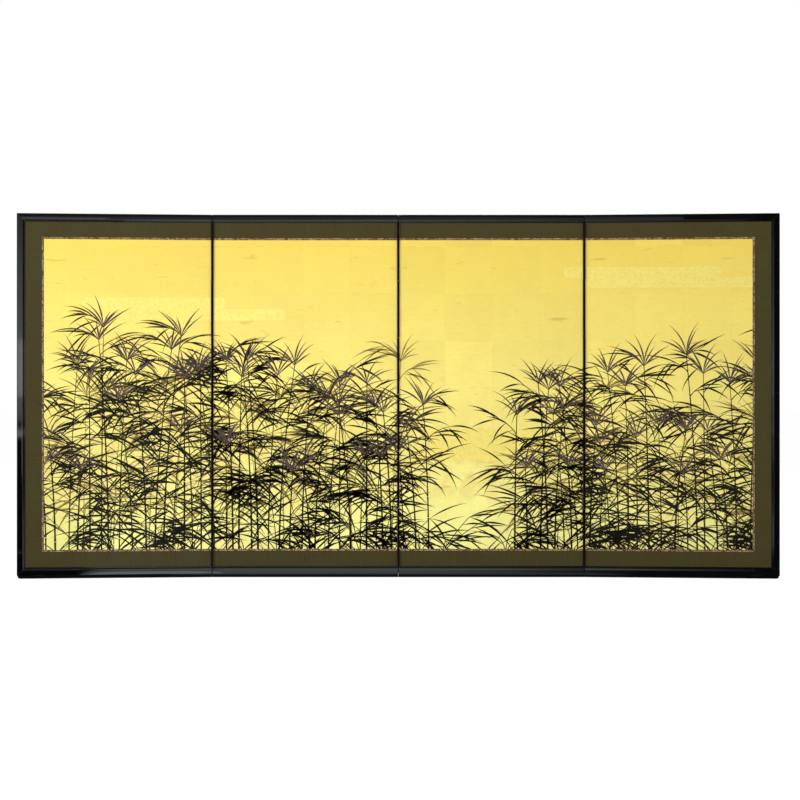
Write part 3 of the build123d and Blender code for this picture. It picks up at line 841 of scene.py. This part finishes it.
@dataclass(frozen=True)
class TrimBraid:
    """The narrow trim over the joint of brocade and gold: a twisted cord beside a flat band."""

    place: PanelPlace
    cord_mm: float = 2.1         # width of the cord
    cord_rise_mm: float = 0.95
    twist_mm: float = 2.6        # from one strand of the cord to the next
    twist_slant: float = 0.9     # how far a strand runs along the cord for each mm across it
    strand_mm: float = 0.3       # how deep the groove between two strands is
    band_rise_mm: float = 0.4
    band_top: Point = (0.06, 0.96)       # shares of its width between which it is flat
    pale_share: float = 0.62     # of the cord's strands that lie with the pale silk up
    gilt_share: float = 0.4      # of the band's picks that are gilt
    samples: int = 4             # in each twist
    pale_samples: int = 3        # of them, that a pale strand takes
    gilt_samples: int = 2        # of them, that a gilt pick takes
    cord_points: int = 6
    band_points: int = 3

    def height(self, across: float, along: float) -> float:
        """Work out how high the trim stands over the picture.

        Args:
            across: the place across the trim, from the cord's outer side, in mm.
            along: the place along it, in mm.

        Returns:
            The height in mm.
        """
        if across > self.cord_mm:
            return self.band_rise_mm
        share = across / self.cord_mm * 2 - 1
        turned = (along + across * self.twist_slant) / self.twist_mm * 2 * math.pi
        crown = math.sqrt(max(0.0, 1 - share * share))
        return crown * (self.cord_rise_mm - self.strand_mm * (1 + math.cos(turned)) / 2)

    def build(self) -> None:
        """Make the trim of one panel as one piece with its corners mitred."""
        low, high = self.place.flat_box("trim_line")
        picture_low, _ = self.place.flat_box("picture")
        width = 2 * (picture_low.z - low.z) / MM
        start, end = (self.cord_mm + (width - self.cord_mm) * share for share in self.band_top)
        across = [self.cord_mm * i / self.cord_points for i in range(self.cord_points + 1)]
        across += [start + (end - start) * i / self.band_points for i in range(self.band_points + 1)]
        across.append(width)
        solids, pick = [], []
        rng = random.Random(self.place.number)
        for edge in border_edges(low, high, width * MM, width * MM, self.place.stile):
            steps = round(edge.length / MM / self.twist_mm) * self.samples
            rings = []
            for i in range(steps + 1):
                ring = []
                for v in across:
                    x, z = edge.at(i / steps, v / width)
                    rise = 0.0 if v in (0.0, width) else self.height(v, edge.length / MM * i / steps)
                    ring.append(Vector((x, picture_low.y - rise * MM, z)))
                rings.append(ring)
            solids.append(rings)
            for i in range(0, steps, self.samples):
                pale, gilt = rng.random() < self.pale_share, rng.random() < self.gilt_share
                for j in range(self.samples):
                    cord = Thread.PALE if pale and j < self.pale_samples else Thread.BROWN
                    band = Thread.GILT if gilt and j < self.gilt_samples else Thread.BROWN
                    pick += [cord.value] * self.cord_points + [band.value] * (len(across) - self.cord_points)
            pick += [Thread.BROWN.value] * 2
        braid = self.place.piece("trim_braid", *sweep(*solids), list(TRIM_SILKS.values()), pick)
        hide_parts(f"{self.place.body}_trim_line")


# The paper hinges

@dataclass(frozen=True)
class HingePapers:
    """The paper strips of one fold, which bridge it in turn from the left and the right panel."""

    node: str
    joint: str
    left: PanelPlace
    right: PanelPlace
    bridges_front: bool
    paper_mm: float = 0.3
    gap_mm: float = 1.0
    slip_mm: float = 2.0
    flap_mm: float = 16.0
    strips: int = 6
    strip_gap_mm: float = 1.5
    bends: int = 6               # parts of the paper across the gap, so that it bends round

    def build(self) -> None:
        """Make the strips of each hand as one piece, shaped round the fold as the panels stand at rest."""
        axis = fold_axis(self.joint)
        spans = self.spans()
        foot, head = (corner.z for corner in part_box(self.node))
        for hand, near in ((1, "left"), (-1, "right")):
            strip, tab = self.outline(hand, axis), self.outline(hand, axis, in_gap=True)
            solids = []
            for index in range(0 if hand == 1 else 1, self.strips, 2):
                low, high = spans[index]
                parts = [(strip, low, high)]
                if index == 0:
                    parts.append((tab, foot, low))
                if index == self.strips - 1:
                    parts.append((tab, high, head))
                solids += [[[Vector((p.x, p.y, z)) for p in ring] for z in ends] for ring, *ends in parts]
            points, faces = sweep(*solids)
            made = put_in_scene(f"{self.node}_from_{near}", points, faces, [DYED_HINGE_PAPER.material()])
            self.left.body
            self.right.body
            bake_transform(made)
            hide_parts(self.node)
            LOG.info("%s: %d faces, bends between %s and %s", made.name, len(faces), self.left.body,
                     self.right.body)

    def spans(self) -> list[tuple[float, float]]:
        """Share the height between the lips of the two rails out.

        Returns:
            The foot and the head of each strip.
        """
        low = self.left.flat_box("bottom_rail")[1].z
        high = self.left.flat_box("top_rail")[0].z
        pitch, margin = (high - low) / self.strips, self.strip_gap_mm / 2 * MM
        return [(low + i * pitch + margin, low + (i + 1) * pitch - margin) for i in range(self.strips)]

    def outline(self, hand: int, axis: Vector, in_gap: bool = False) -> list[Vector]:
        """Work out the outline of a strip, seen from above.

        Args:
            hand: 1 where it bridges from the left panel, -1 from the right.
            axis: the fold's axis.
            in_gap: True for the tab between the rail ends, which has no flaps.

        Returns:
            A ring of points at no height.
        """
        slip_low, slip_high = self.left.flat_box("fold_slips")
        paper = self.paper_mm * MM
        crown = (slip_low.y - paper, slip_high.y + paper)
        lining = (self.left.flat_box("picture")[1].y, self.left.flat_box("back_paper")[0].y)
        near, far = (0, 1) if self.bridges_front else (1, 0)
        inwards = paper if self.bridges_front else -paper
        half = self.gap_mm / 2 * MM
        edge = half + self.slip_mm * MM
        flap = edge + self.flap_mm * MM
        turn_in = half - paper
        top, under = crown[near], crown[near] + inwards
        steps = [i / self.bends for i in range(1, self.bends)]
        near_face, near_back = [(-half, top)], [(-half, under)]
        far_face, far_back = [(half, top), (half, crown[far] - inwards)], [(turn_in, under)]
        if in_gap:
            far_face.append((turn_in, crown[far] - inwards))
        else:
            near_face = [(-flap, lining[near]), (-edge - paper, lining[near]), (-edge - paper, top),
                         *near_face]
            near_back += [(-edge, under), (-edge, lining[near] + inwards), (-flap, lining[near] + inwards)]
            far_face += [(edge, crown[far] - inwards), (edge, lining[far] - inwards),
                         (flap, lining[far] - inwards)]
            far_back = [(flap, lining[far]), (edge + paper, lining[far]), (edge + paper, crown[far]),
                        (turn_in, crown[far]), *far_back]
        crossing = [(-half + 2 * half * s, top) for s in steps]
        returning = [(turn_in - (turn_in + half) * s, under) for s in steps]
        bridged, reached = (place.turn() for place in (self.left, self.right)[::hand])
        return [
            turn @ Vector((axis.x + hand * x, y, 0.0))
            for turn, part in ((bridged, near_face + crossing), (reached, far_face + far_back),
                               (bridged, returning + near_back))
            for x, y in part
        ]


# The painting

@dataclass(frozen=True)
class Stroke:
    """One stroke of the brush: the points of its middle line in flat x and z, in mm, and its widths."""

    tone: Tone
    points: Sequence[Point]
    widths: Sequence[float]

    def outline(self) -> Iterator[tuple[Point, Point]]:
        """Draw its outline.

        Yields:
            The two edge points at each point of the middle line.
        """
        last = len(self.points) - 1
        for i, (x, z) in enumerate(self.points):
            (x0, z0), (x1, z1) = self.points[max(i - 1, 0)], self.points[min(i + 1, last)]
            length = math.hypot(x1 - x0, z1 - z0) or 1.0
            nx, nz = -(z1 - z0) / length * self.widths[i] / 2, (x1 - x0) / length * self.widths[i] / 2
            yield (x - nx, z - nz), (x + nx, z + nz)


@dataclass
class BambooGrove:
    """A thicket of thin bamboo in ink, with open gold above it and one clearing in it.

    Lengths are in mm and angles in degrees. A pair of numbers is a range to draw from, if nothing else is
    said. A side is 1 on the right and -1 on the left.
    """

    left: float                  # the painted field
    right: float
    ground: float
    top: float
    rng: random.Random = field(default_factory=partial(random.Random, 23))

    # The culms. Each kind has its ink, pitch, width and share of the height.
    kinds: tuple = ((Tone.FAR, 88.0, 2.6, 0.9), (Tone.NEAR, 22.0, 4.0, 1.0))
    overhang: float = 30.0       # how far outside the field they start
    pitch_spread: Point = (0.55, 1.45)
    clearing: Point = (96.0, 262.0)      # where it starts and ends
    reach_share: float = 0.58            # of the field's height that they reach on the whole
    swells: tuple[Place, ...] = ((0.07, 118.0, 0.8), (0.05, 47.0, 2.1))        # share, length and phase
    thinning: float = 110.0              # how far from the clearing they get lower
    thinning_share: float = 0.6          # what is left of the height beside it
    heights: tuple[float, ...] = (0.45, 0.6, 0.8, 0.95, 1.0, 1.05)
    height_spread: Point = (0.92, 1.08)
    width_spread: Point = (0.75, 1.15)
    lean: float = 0.09                   # of its height
    lean_power: float = 1.8
    internode: float = 50.0
    internode_shares: Point = (0.7, 0.5)         # at its ends, and what is added halfway up
    internode_spread: Point = (0.85, 1.15)
    joint_gap: float = 1.4
    culm_taper: float = 0.62
    culm_profile: tuple[float, ...] = (1.3, 1.0, 0.94, 1.0, 1.25)              # from joint to joint
    branch_from: float = 0.1             # share of its height
    branch_chance: float = 0.9

    # The branches, the crowns and the undergrowth
    branch_angle: Point = (24, 52)       # away from upright
    branch_length: Point = (44, 88)
    branch_taper: Point = (1.05, 0.5)    # its length at the foot of a culm, and what is lost by the head
    branch_sag: Point = (20, 50)
    # The points of a branch, and how many leaves each may have
    branch_sprays: tuple = ((1, (0, 1)), (2, (1,)), (3, (1, 2)), (4, (1,)), (5, (1, 2, 3)))
    twig_widths: tuple[float, ...] = (2.2, 2.0, 1.8, 1.6, 1.4, 1.2)
    crown_leaves: tuple[int, ...] = (6, 7, 8, 9)
    crown_fan: Point = (38, 142)
    crown_scale: float = 0.7
    clump_pitch: Point = (34, 76)
    clump_overhang: float = 20.0
    clump_margin: float = 30.0           # how far one may stand in the clearing
    clump_in_clearing: float = 0.25      # chance of one further in
    clump_stems: tuple[int, ...] = (3, 4, 5)
    clump_fan: float = 56.0
    clump_length: Point = (24, 120)
    clump_sag: Point = (5, 30)
    clump_depth: float = 4.0             # how far under the trim it starts
    clump_sprays: tuple = ((2, 1), (3, 1), (4, 3))       # points of a stem, and leaves at each
    clump_scale: float = 0.95

    # The leaves
    spray_fan: Point = (46, -46)         # above level to below
    spray_taper: float = 0.25            # how much smaller they are at the head of a culm
    leaf_length: Point = (62.0, 122.0)
    leaf_width: Point = (3.3, 4.9)
    leaf_sag: Point = (18.0, 52.0)       # how far it bends down from root to tip
    leaf_profile: tuple[float, ...] = (0.14, 0.42, 0.78, 1.0, 0.94, 0.74, 0.5, 0.24, 0.03)

    def reach(self, x: float) -> float:
        """Work out how high culms reach.

        Args:
            x: where they stand.

        Returns:
            The share of the field's height: in long swells, and lower by the clearing.
        """
        waves = (share * math.sin(x / length + phase) for share, length, phase in self.swells)
        gap = min(1.0, min(abs(x - end) for end in self.clearing) / self.thinning)
        return (self.reach_share + sum(waves)) * (self.thinning_share + (1 - self.thinning_share) * gap)

    def curve(self, start: Point, heading: float, length: float, sag: float, steps: int) -> list[Point]:
        """Draw a line that sags towards the ground.

        Args:
            start: its first point.
            heading: the way it sets off, from level on the right.
            length: its length.
            sag: how far it turns down on the whole.
            steps: how many parts it has.

        Returns:
            Its points.
        """
        points = [start]
        sideways = 1 if math.cos(math.radians(heading)) >= 0 else -1
        for _ in range(steps):
            x, z = points[-1]
            angle = math.radians(heading)
            points.append((x + math.cos(angle) * length / steps, z + math.sin(angle) * length / steps))
            heading -= sideways * sag / steps
        return points

    def leaves(self, start: Point, side: int, count: int, fan: Point, tone: Tone, scale: float
               ) -> Iterator[Stroke]:
        """Draw the leaves of a spray or a crown, pointed at their tips.

        Args:
            start: where they grow.
            side: the side that the fan is open to.
            count: how many there are.
            fan: the headings that it lies between.
            tone: their ink.
            scale: their length, as a share.

        Yields:
            Each leaf.
        """
        for i in range(count):
            heading = fan[0] + (fan[1] - fan[0]) * (i + self.rng.random()) / count
            length = self.rng.uniform(*self.leaf_length) * scale
            width = self.rng.uniform(*self.leaf_width) * scale ** 0.5
            points = self.curve(start, heading if side > 0 else 180 - heading, length,
                                self.rng.uniform(*self.leaf_sag), len(self.leaf_profile) - 1)
            yield Stroke(tone, points, [width * share for share in self.leaf_profile])

    def branch(self, start: Point, side: int, share: float, tone: Tone) -> Iterator[Stroke]:
        """Draw one side branch.

        Args:
            start: where it grows.
            side: the side it grows to.
            share: how far up the culm it grows.
            tone: its ink.

        Yields:
            The branch and the leaves of its sprays.
        """
        heading = 90 - side * self.rng.uniform(*self.branch_angle)
        length = self.rng.uniform(*self.branch_length) * (self.branch_taper[0] - self.branch_taper[1] * share)
        points = self.curve(start, heading, length, self.rng.uniform(*self.branch_sag),
                            len(self.twig_widths) - 1)
        yield Stroke(tone, points, self.twig_widths)
        for place, counts in self.branch_sprays:
            yield from self.leaves(points[place], side, self.rng.choice(counts), self.spray_fan, tone,
                                   1.0 - self.spray_taper * share)

    def culm(self, x: float, height: float, width: float, tone: Tone) -> Iterator[Stroke]:
        """Draw one culm from the ground up.

        Args:
            x: where it stands.
            height: its height.
            width: its width at the foot.
            tone: its ink.

        Yields:
            Its parts from joint to joint, each with the branch above it, and the leaves of its crown.
        """
        lean = self.rng.uniform(-self.lean, self.lean) * height

        def at(z: float) -> Point:
            """Return the culm's point at a height."""
            return (x + lean * max(0.0, (z - self.ground) / height) ** self.lean_power, z)

        z, side = self.ground - self.rng.uniform(0, self.internode), self.rng.choice((-1, 1))
        parts = len(self.culm_profile) - 1
        ends, middle = self.internode_shares
        while z < self.ground + height:
            share = max(0.0, (z - self.ground) / height)
            step = self.internode * (ends + middle * math.sin(math.pi * share)) \
                * self.rng.uniform(*self.internode_spread)
            w = width * (1 - self.culm_taper * share)
            foot = z + self.joint_gap / 2
            points = [at(foot + (step - self.joint_gap) * k / parts) for k in range(parts + 1)]
            yield Stroke(tone, points, [w * part for part in self.culm_profile])
            z += step
            if self.branch_from < share and self.rng.random() < self.branch_chance:
                side = -side
                yield from self.branch(at(z), side, share, tone)
        yield from self.leaves(at(z), 1, self.rng.choice(self.crown_leaves), self.crown_fan,
                               Tone.CROWN if tone is Tone.NEAR else tone, self.crown_scale)

    def undergrowth(self, x: float) -> Iterator[Stroke]:
        """Draw one clump of dwarf bamboo at the foot of the thicket.

        Args:
            x: where it stands.

        Yields:
            Its stems and their leaves.
        """
        for _ in range(self.rng.choice(self.clump_stems)):
            heading = 90 + self.rng.uniform(-self.clump_fan, self.clump_fan)
            length, sag = self.rng.uniform(*self.clump_length), self.rng.uniform(*self.clump_sag)
            stem = self.curve((x, self.ground - self.clump_depth), heading, length, sag,
                              self.clump_sprays[-1][0])
            yield Stroke(Tone.NEAR, stem, self.twig_widths)
            for place, count in self.clump_sprays:
                yield from self.leaves(stem[place], 1 if heading < 90 else -1, count, self.spray_fan,
                                       Tone.NEAR, self.clump_scale)

    def strokes(self) -> list[Stroke]:
        """Draw the whole painting.

        Returns:
            Its strokes, far ones first.
        """
        made: list[Stroke] = []
        height = self.top - self.ground
        for tone, pitch, width, lift in self.kinds:
            x = self.left - self.overhang
            while x < self.right + self.overhang:
                x += pitch * self.rng.uniform(*self.pitch_spread)
                if not self.clearing[0] < x < self.clearing[1]:
                    tall = height * self.reach(x) * lift * self.rng.choice(self.heights) \
                        * self.rng.uniform(*self.height_spread)
                    made += self.culm(x, tall, width * self.rng.uniform(*self.width_spread), tone)
        x = self.left - self.clump_overhang
        while x < self.right + self.clump_overhang:
            x += self.rng.uniform(*self.clump_pitch)
            inside = self.clearing[0] + self.clump_margin < x < self.clearing[1] - self.clump_margin
            if not inside or self.rng.random() < self.clump_in_clearing:
                made += self.undergrowth(x)
        return made


@dataclass(frozen=True)
class MistCloud:
    """A cloud of mist in the old manner: level bands with round ends, each touching the next."""

    middle: Point                # in flat x and z, in mm
    height: float                # of one band
    bands: tuple[Point, ...]     # how far each is shifted and how long it is, from the top down

    def outlines(self, arc_steps: int = 10) -> Iterator[list[Point]]:
        """Draw the cloud.

        Args:
            arc_steps: parts of a round end.

        Yields:
            The outline of each band.
        """
        radius = self.height / 2
        turns = [math.pi * (i / arc_steps - 0.5) for i in range(arc_steps + 1)]
        for row, (shift, length) in enumerate(self.bands):
            x, z = self.middle[0] + shift, self.middle[1] + radius * (len(self.bands) - 1) - row * self.height
            right = [(x + length / 2 + radius * (math.cos(t) - 1), z + radius * math.sin(t)) for t in turns]
            yield right + [(2 * x - px, 2 * z - pz) for px, pz in right]


@dataclass(frozen=True)
class Painting:
    """The painting, made as one design across the open screen and cut at each panel's edges."""

    places: tuple[PanelPlace, ...]
    mist: tuple[MistCloud, ...] = (
        MistCloud((-520, 604), 26, ((-40, 330), (50, 420), (-80, 210))),
        MistCloud((205, 306), 24, ((0, 300), (57, 380), (-55, 240))),
        MistCloud((600, 690), 24, ((-40, 360), (40, 420))),
    )

    def build(self) -> None:
        """Make the mist and each ink of each panel."""
        fields = [place.flat_box("picture") for place in self.places]
        trim_low, trim_high = self.places[0].flat_box("trim_line")
        grove = BambooGrove(fields[0][0].x / MM, fields[-1][1].x / MM, trim_low.z / MM, trim_high.z / MM)
        strokes = grove.strokes()
        LOG.info("painting: %d strokes", len(strokes))
        mist = [[(point,) for point in band] for cloud in self.mist for band in cloud.outlines()]
        for place, (low, high) in zip(self.places, fields):
            self.layer(place, low, high, "mist", MIST_GOLD, 1, mist)
            for tone, ink in INKS.items():
                chosen = [list(stroke.outline()) for stroke in strokes if stroke.tone is tone]
                self.layer(place, low, high, ink.name, ink, 1 + tone.value, chosen)

    def layer(self, place: PanelPlace, low: Vector, high: Vector, name: str, finish: Finish, level: int,
              shapes: Sequence[Sequence[Sequence[Point]]]) -> None:
        """Make one painted layer of one panel, if anything of it falls there.

        Args:
            place: the panel.
            low: lowest corner of its picture.
            high: highest corner of its picture.
            name: what the layer is.
            finish: what it is painted with.
            level: how many layers lie under it, counting the gold.
            shapes: strokes as pairs of edge points, or outlines as single points.
        """
        form = bmesh.new()
        y = low.y - level * LAYER_MM * MM
        for shape in shapes:
            xs = [point[0] * MM for row in shape for point in row]
            if max(xs) < low.x or min(xs) > high.x:
                continue
            rows = [[form.verts.new((x * MM, y, z * MM)) for x, z in row] for row in shape]
            if len(rows[0]) == 1:
                form.faces.new([vertex for vertex, in rows])
            else:
                for (a, b), (c, d) in zip(rows, rows[1:]):
                    form.faces.new((a, c, d, b))
        for corner, away in ((low, (-1, 0, 0)), (high, (1, 0, 0)), (low, (0, 0, -1)), (high, (0, 0, 1))):
            everything = form.verts[:] + form.edges[:] + form.faces[:]
            bmesh.ops.bisect_plane(form, geom=everything, plane_co=corner, plane_no=away, clear_outer=True)
        bmesh.ops.recalc_face_normals(form, faces=form.faces[:])
        form.verts.index_update()
        points = [vertex.co.copy() for vertex in form.verts]
        faces = [[vertex.index for vertex in (face.verts if face.normal.y < 0 else reversed(face.verts))]
                 for face in form.faces]
        form.free()
        if faces:
            place.piece(name, points, faces, [finish])


# The woodwork and the papers that keep their CAD nodes

@dataclass(frozen=True)
class Woodwork:
    """The frame, slips, runners, lattice, pins and papers, which only need their finishes."""

    finishes: dict[str, Finish]

    def dress(self) -> None:
        """Give each CAD node the finish of its material slot."""
        for part in frame["record"]["subparts"]:
            finish = self.finishes.get(part["material_slot"])
            if finish:
                for slot in frame["nodes"][part["node"]].material_slots:
                    slot.material = finish.material()
                LOG.info("%s: %s", part["node"], finish.name)


# The studio

@dataclass(frozen=True)
class Lamp:
    """A soft rectangular lamp."""

    name: str
    place: Place
    aim: Place
    size: Point
    watts: float
    mirrored: bool = True        # whether gloss shows it

    def light(self) -> None:
        """Put the lamp up."""
        data = bpy.data.lights.new(self.name, "AREA")
        data.shape = "RECTANGLE"
        data.size, data.size_y = self.size
        data.energy = self.watts
        lamp = bpy.data.objects.new(self.name, data)
        lamp.location = self.place
        lamp.rotation_mode = "QUATERNION"
        lamp.rotation_quaternion = (Vector(self.aim) - Vector(self.place)).to_track_quat("-Z", "Y")
        lamp.visible_camera = False
        lamp.visible_glossy = self.mirrored
        bpy.context.scene.collection.objects.link(lamp)


def rectangle(*spans: Point | float) -> tuple[Place, ...]:
    """Work out the corners of a rectangle that is square to the axes.

    Args:
        spans: its ends along x, y and z, or one number along the axis that it faces.

    Returns:
        Its corners in turn.
    """
    (x0, x1), (y0, y1), (z0, z1) = (span if isinstance(span, tuple) else (span, span) for span in spans)
    if z0 == z1:
        return ((x0, y0, z0), (x1, y0, z0), (x1, y1, z0), (x0, y1, z0))
    return ((x0, y0, z0), (x1, y1, z0), (x1, y1, z1), (x0, y0, z1))


@dataclass(frozen=True)
class Fade:
    """How the brightness of a card changes along one axis."""

    axis: str
    places: Point                # where it starts and where it ends
    shares: Point                # the share of the card's glow that is left at each


@dataclass(frozen=True)
class Card:
    """A flat card that only reflections see. It gives the lacquer something to show."""

    name: str
    corners: tuple[Place, ...]
    glow: float = 0.0
    fades: tuple[Fade, ...] = ()
    colour: str = "#ffffff"


@dataclass(frozen=True)
class Room:
    """What the lacquer shows of the room: light low down and left, dim above and to the right.

    Places are in metres. The cards stand round the space before the screen and lie on its floor. Two
    dark flags stand close by the screen's right end.
    """

    side: float = 5.0            # x of its right wall
    wall: float = -4.6           # y of the wall behind the camera
    foot: float = -0.2
    ceiling: float = 4.5
    glow: float = 0.95           # of the walls and the far floor
    mat_start: float = -0.02     # y where the near mats begin
    mat_end: float = -0.6
    pale: float = 0.001          # heights of what lies on the floor
    mat: float = 0.002
    rug: float = 0.003
    stand: float = -2.3          # y of the low window
    flag: float = -0.25          # y of the flags
    flag_x: float = 0.838        # where the one by the stile meets the one over the rail
    sky: str = "#e6eef8"
    dusk: Fade = Fade("Z", (0.75, 1.75), (1.0, 0.12))
    shady_side: Fade = Fade("X", (0.35, 1.3), (1.0, 0.04))

    def cards(self) -> tuple[Card, ...]:
        """Return the cards of the room."""
        across, upright, depth = (-self.side, self.side), (self.foot, self.ceiling), (self.wall, 0.0)
        near, far = (self.mat_start, self.mat_end), (self.mat_end, self.wall)
        corner_y, shelf_y = self.wall + 0.05, self.stand + 0.02
        return (
            Card("far_wall", rectangle(across, self.wall, upright), self.glow, (self.dusk, self.shady_side)),
            Card("left_wall", rectangle(-self.side, depth, upright), self.glow, (self.dusk,)),
            Card("right_wall", rectangle(self.side, depth, upright), 0.03),
            Card("ceiling", rectangle(across, depth, self.ceiling), 0.05),
            Card("dark_corner", rectangle((-self.side, -1.0), corner_y, (self.foot, 0.3))),
            Card("low_window", rectangle((-1.7, 0.5), self.stand, (0.42, 0.64)), 2.2,
                 (Fade("X", (-0.1, 0.5), (1.0, 0.05)),)),
            Card("dim_shelf", rectangle((-0.8, 1.3), shelf_y, (0.76, 1.12)), 0.3),
            Card("table_top", rectangle((-1.6, 1.0), (-2.0, -1.0), 0.3), 2.0,
                 (Fade("X", (-0.1, 0.9), (1.0, 0.03)),)),
            Card("far_floor", rectangle(across, far, self.pale), self.glow, (self.shady_side,)),
            Card("near_floor", rectangle(across, near, self.pale), 1.0,
                 (Fade("X", (-0.74, -0.70), (0.0, 1.0)), Fade("X", (-0.1, 0.6), (1.0, 0.03))), self.sky),
            Card("sunny_mat", tuple((x, y, self.mat) for x, y in (
                (-0.73, near[0]), (-0.40, near[0]), (-0.48, -0.13), (-0.64, -0.13))), 2.2, colour=self.sky),
            Card("dark_rug", tuple((x, y, self.rug) for x, y in (
                (-self.side, far[0]), (-0.72, far[0]), (-0.5, far[1]), (-self.side, far[1])))),
            Card("foot_shade", rectangle(across, (self.mat_start, 0.0), self.rug), 0.05),
            Card("side_flag", rectangle((self.flag_x, 1.1), self.flag, (-0.1, 1.0)), 0.01),
            Card("top_flag", rectangle((0.665, self.flag_x), self.flag, (0.803, 1.0)), 0.03),
        )


@dataclass(frozen=True)
class Studio:
    """A white studio: pale floor, soft lamps, a room for the lacquer to show, and the camera."""

    picture_px: int = 800
    mm_per_px: float = 2.30              # at the front of the middle panels
    distance: float = 3.35               # from the camera to there
    middle_px: Point = (398.3, 396.0)    # where the screen's middle stands in the picture
    sensor_mm: float = 36.0
    ambient: float = 0.6
    floor_half: float = 40.0
    floor_colour: str = "#e6e6e6"
    floor_glow: float = 1.16             # of the part that shows white instead of its shadow
    floor_glow_share: float = 0.75
    lamps: tuple[Lamp, ...] = (
        Lamp("key_lamp", (-2.6, -2.2, 2.4), (0.0, 0.0, 0.45), (1.6, 1.6), 83.0),
        Lamp("fill_lamp", (2.6, -3.2, 1.6), (0.2, 0.0, 0.4), (1.6, 1.6), 60.0, mirrored=False),
        Lamp("back_lamp", (0.8, 3.0, 2.2), (0.0, 0.0, 0.4), (2.0, 1.2), 35.0),
    )
    room: Room = Room()

    def build(self) -> None:
        """Set the whole studio up."""
        self.world()
        self.floor()
        for card in self.room.cards():
            self.stand(card)
        for lamp in self.lamps:
            lamp.light()
        self.camera()
        bpy.context.scene.view_settings.view_transform = "Standard"

    def seen(self, node: partial) -> bpy.types.Node:
        """Pick out what the picture and the reflections show.

        Args:
            node: add_node, with the tree filled in.

        Returns:
            A node that gives 1 for camera, glossy and transmission rays.
        """
        path = node("LightPath").outputs
        first = node("Math", (path["Is Camera Ray"], path["Is Glossy Ray"]), operation="MAXIMUM")
        return node("Math", (first, path["Is Transmission Ray"]), operation="MAXIMUM")

    def world(self) -> None:
        """Light the room evenly, and show it white."""
        world = bpy.data.worlds.new("white_room")
        world.use_nodes = True
        bpy.context.scene.world = world
        world.node_tree.nodes.clear()
        node = partial(add_node, world.node_tree)
        dim = node("Background", {"Color": "#ffffff", "Strength": self.ambient})
        white = node("Background", {"Color": "#ffffff", "Strength": 1.0})
        node("OutputWorld", {"Surface": node("MixShader", (self.seen(node), dim, white))})

    def panel(self, name: str, corners: Sequence[Place]) -> tuple[bpy.types.Object, partial]:
        """Make a flat stage piece.

        Args:
            name: its name.
            corners: its four corners.

        Returns:
            The piece, and add_node with its material's empty node tree filled in.
        """
        material = bpy.data.materials.new(name)
        material.use_nodes = True
        material.node_tree.nodes.clear()
        made = put_in_scene(name, corners, [range(4)], [material])
        made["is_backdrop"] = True
        return made, partial(add_node, material.node_tree)

    def floor(self) -> None:
        """Lay a floor that shows white and keeps a soft shadow."""
        reach = (-self.floor_half, self.floor_half)
        _, node = self.panel("studio_floor", rectangle(reach, reach, 0.0))
        matt = node("BsdfDiffuse", {"Color": self.floor_colour})
        glow = node("Emission", {"Color": "#ffffff", "Strength": self.floor_glow})
        shown = node("MixShader", (self.floor_glow_share, matt, glow))
        node("OutputMaterial", {"Surface": node("MixShader", (self.seen(node), matt, shown))})

    def stand(self, card: Card) -> None:
        """Stand one card where only reflections see it.

        Args:
            card: the card.
        """
        made, node = self.panel(card.name, card.corners)
        axes = node("SeparateXYZ", (node("TexCoord").outputs["Object"],))
        left = card.glow
        for fade in card.fades:
            share = node("MapRange", (axes.outputs[fade.axis], *fade.places, *fade.shares),
                         interpolation_type="SMOOTHSTEP")
            left = node("Math", (share, left), operation="MULTIPLY")
        glow = node("Emission", {"Color": card.colour, "Strength": left})
        node("OutputMaterial", {"Surface": glow})
        for ray in ("camera", "diffuse", "transmission", "volume_scatter", "shadow"):
            setattr(made, f"visible_{ray}", False)

    def camera(self) -> None:
        """Stand the camera level, straight in front of the screen."""
        low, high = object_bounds()
        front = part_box("panel_2_top_rail")[0].y
        scale = self.mm_per_px * MM
        half = self.picture_px / 2
        data = bpy.data.cameras.new("camera")
        data.sensor_width = self.sensor_mm
        data.lens = self.sensor_mm * self.distance / (self.picture_px * scale)
        camera = bpy.data.objects.new("camera", data)
        camera.location = ((low.x + high.x) / 2 + (half - self.middle_px[0]) * scale, front - self.distance,
                           (low.z + high.z) / 2 - (half - self.middle_px[1]) * scale)
        camera.rotation_euler = (math.radians(90), 0.0, 0.0)
        bpy.context.scene.collection.objects.link(camera)
        bpy.context.scene.camera = camera


def main() -> None:
    """Build the screen in order."""
    logging.basicConfig(level=logging.INFO, format="%(name)s: %(message)s")
    cad_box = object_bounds()
    places = (
        PanelPlace(1, 4.0, "fold_1_2", Side.LEFT),
        PanelPlace(2),
        PanelPlace(3),
        PanelPlace(4, -4.0, "fold_3_4", Side.RIGHT),
    )
    Studio().build()
    Woodwork(WOODWORK).dress()
    for place in places:
        BrocadeBorder(place).build()
        TrimBraid(place).build()
    for left, right, bridges_front in zip(places, places[1:], (True, False, True)):
        node, joint = f"hinge_papers_{left.number}{right.number}", f"fold_{left.number}_{right.number}"
        HingePapers(node, joint, left, right, bridges_front).build()
    Painting(places).build()
    sizes = {"cad_box": cad_box, "visual_box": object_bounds()}
    for name, (low, high) in sizes.items():
        LOG.info("%s: %s to %s", name, [round(v, 4) for v in low], [round(v, 4) for v in high])


if __name__ == "__main__":
    main()
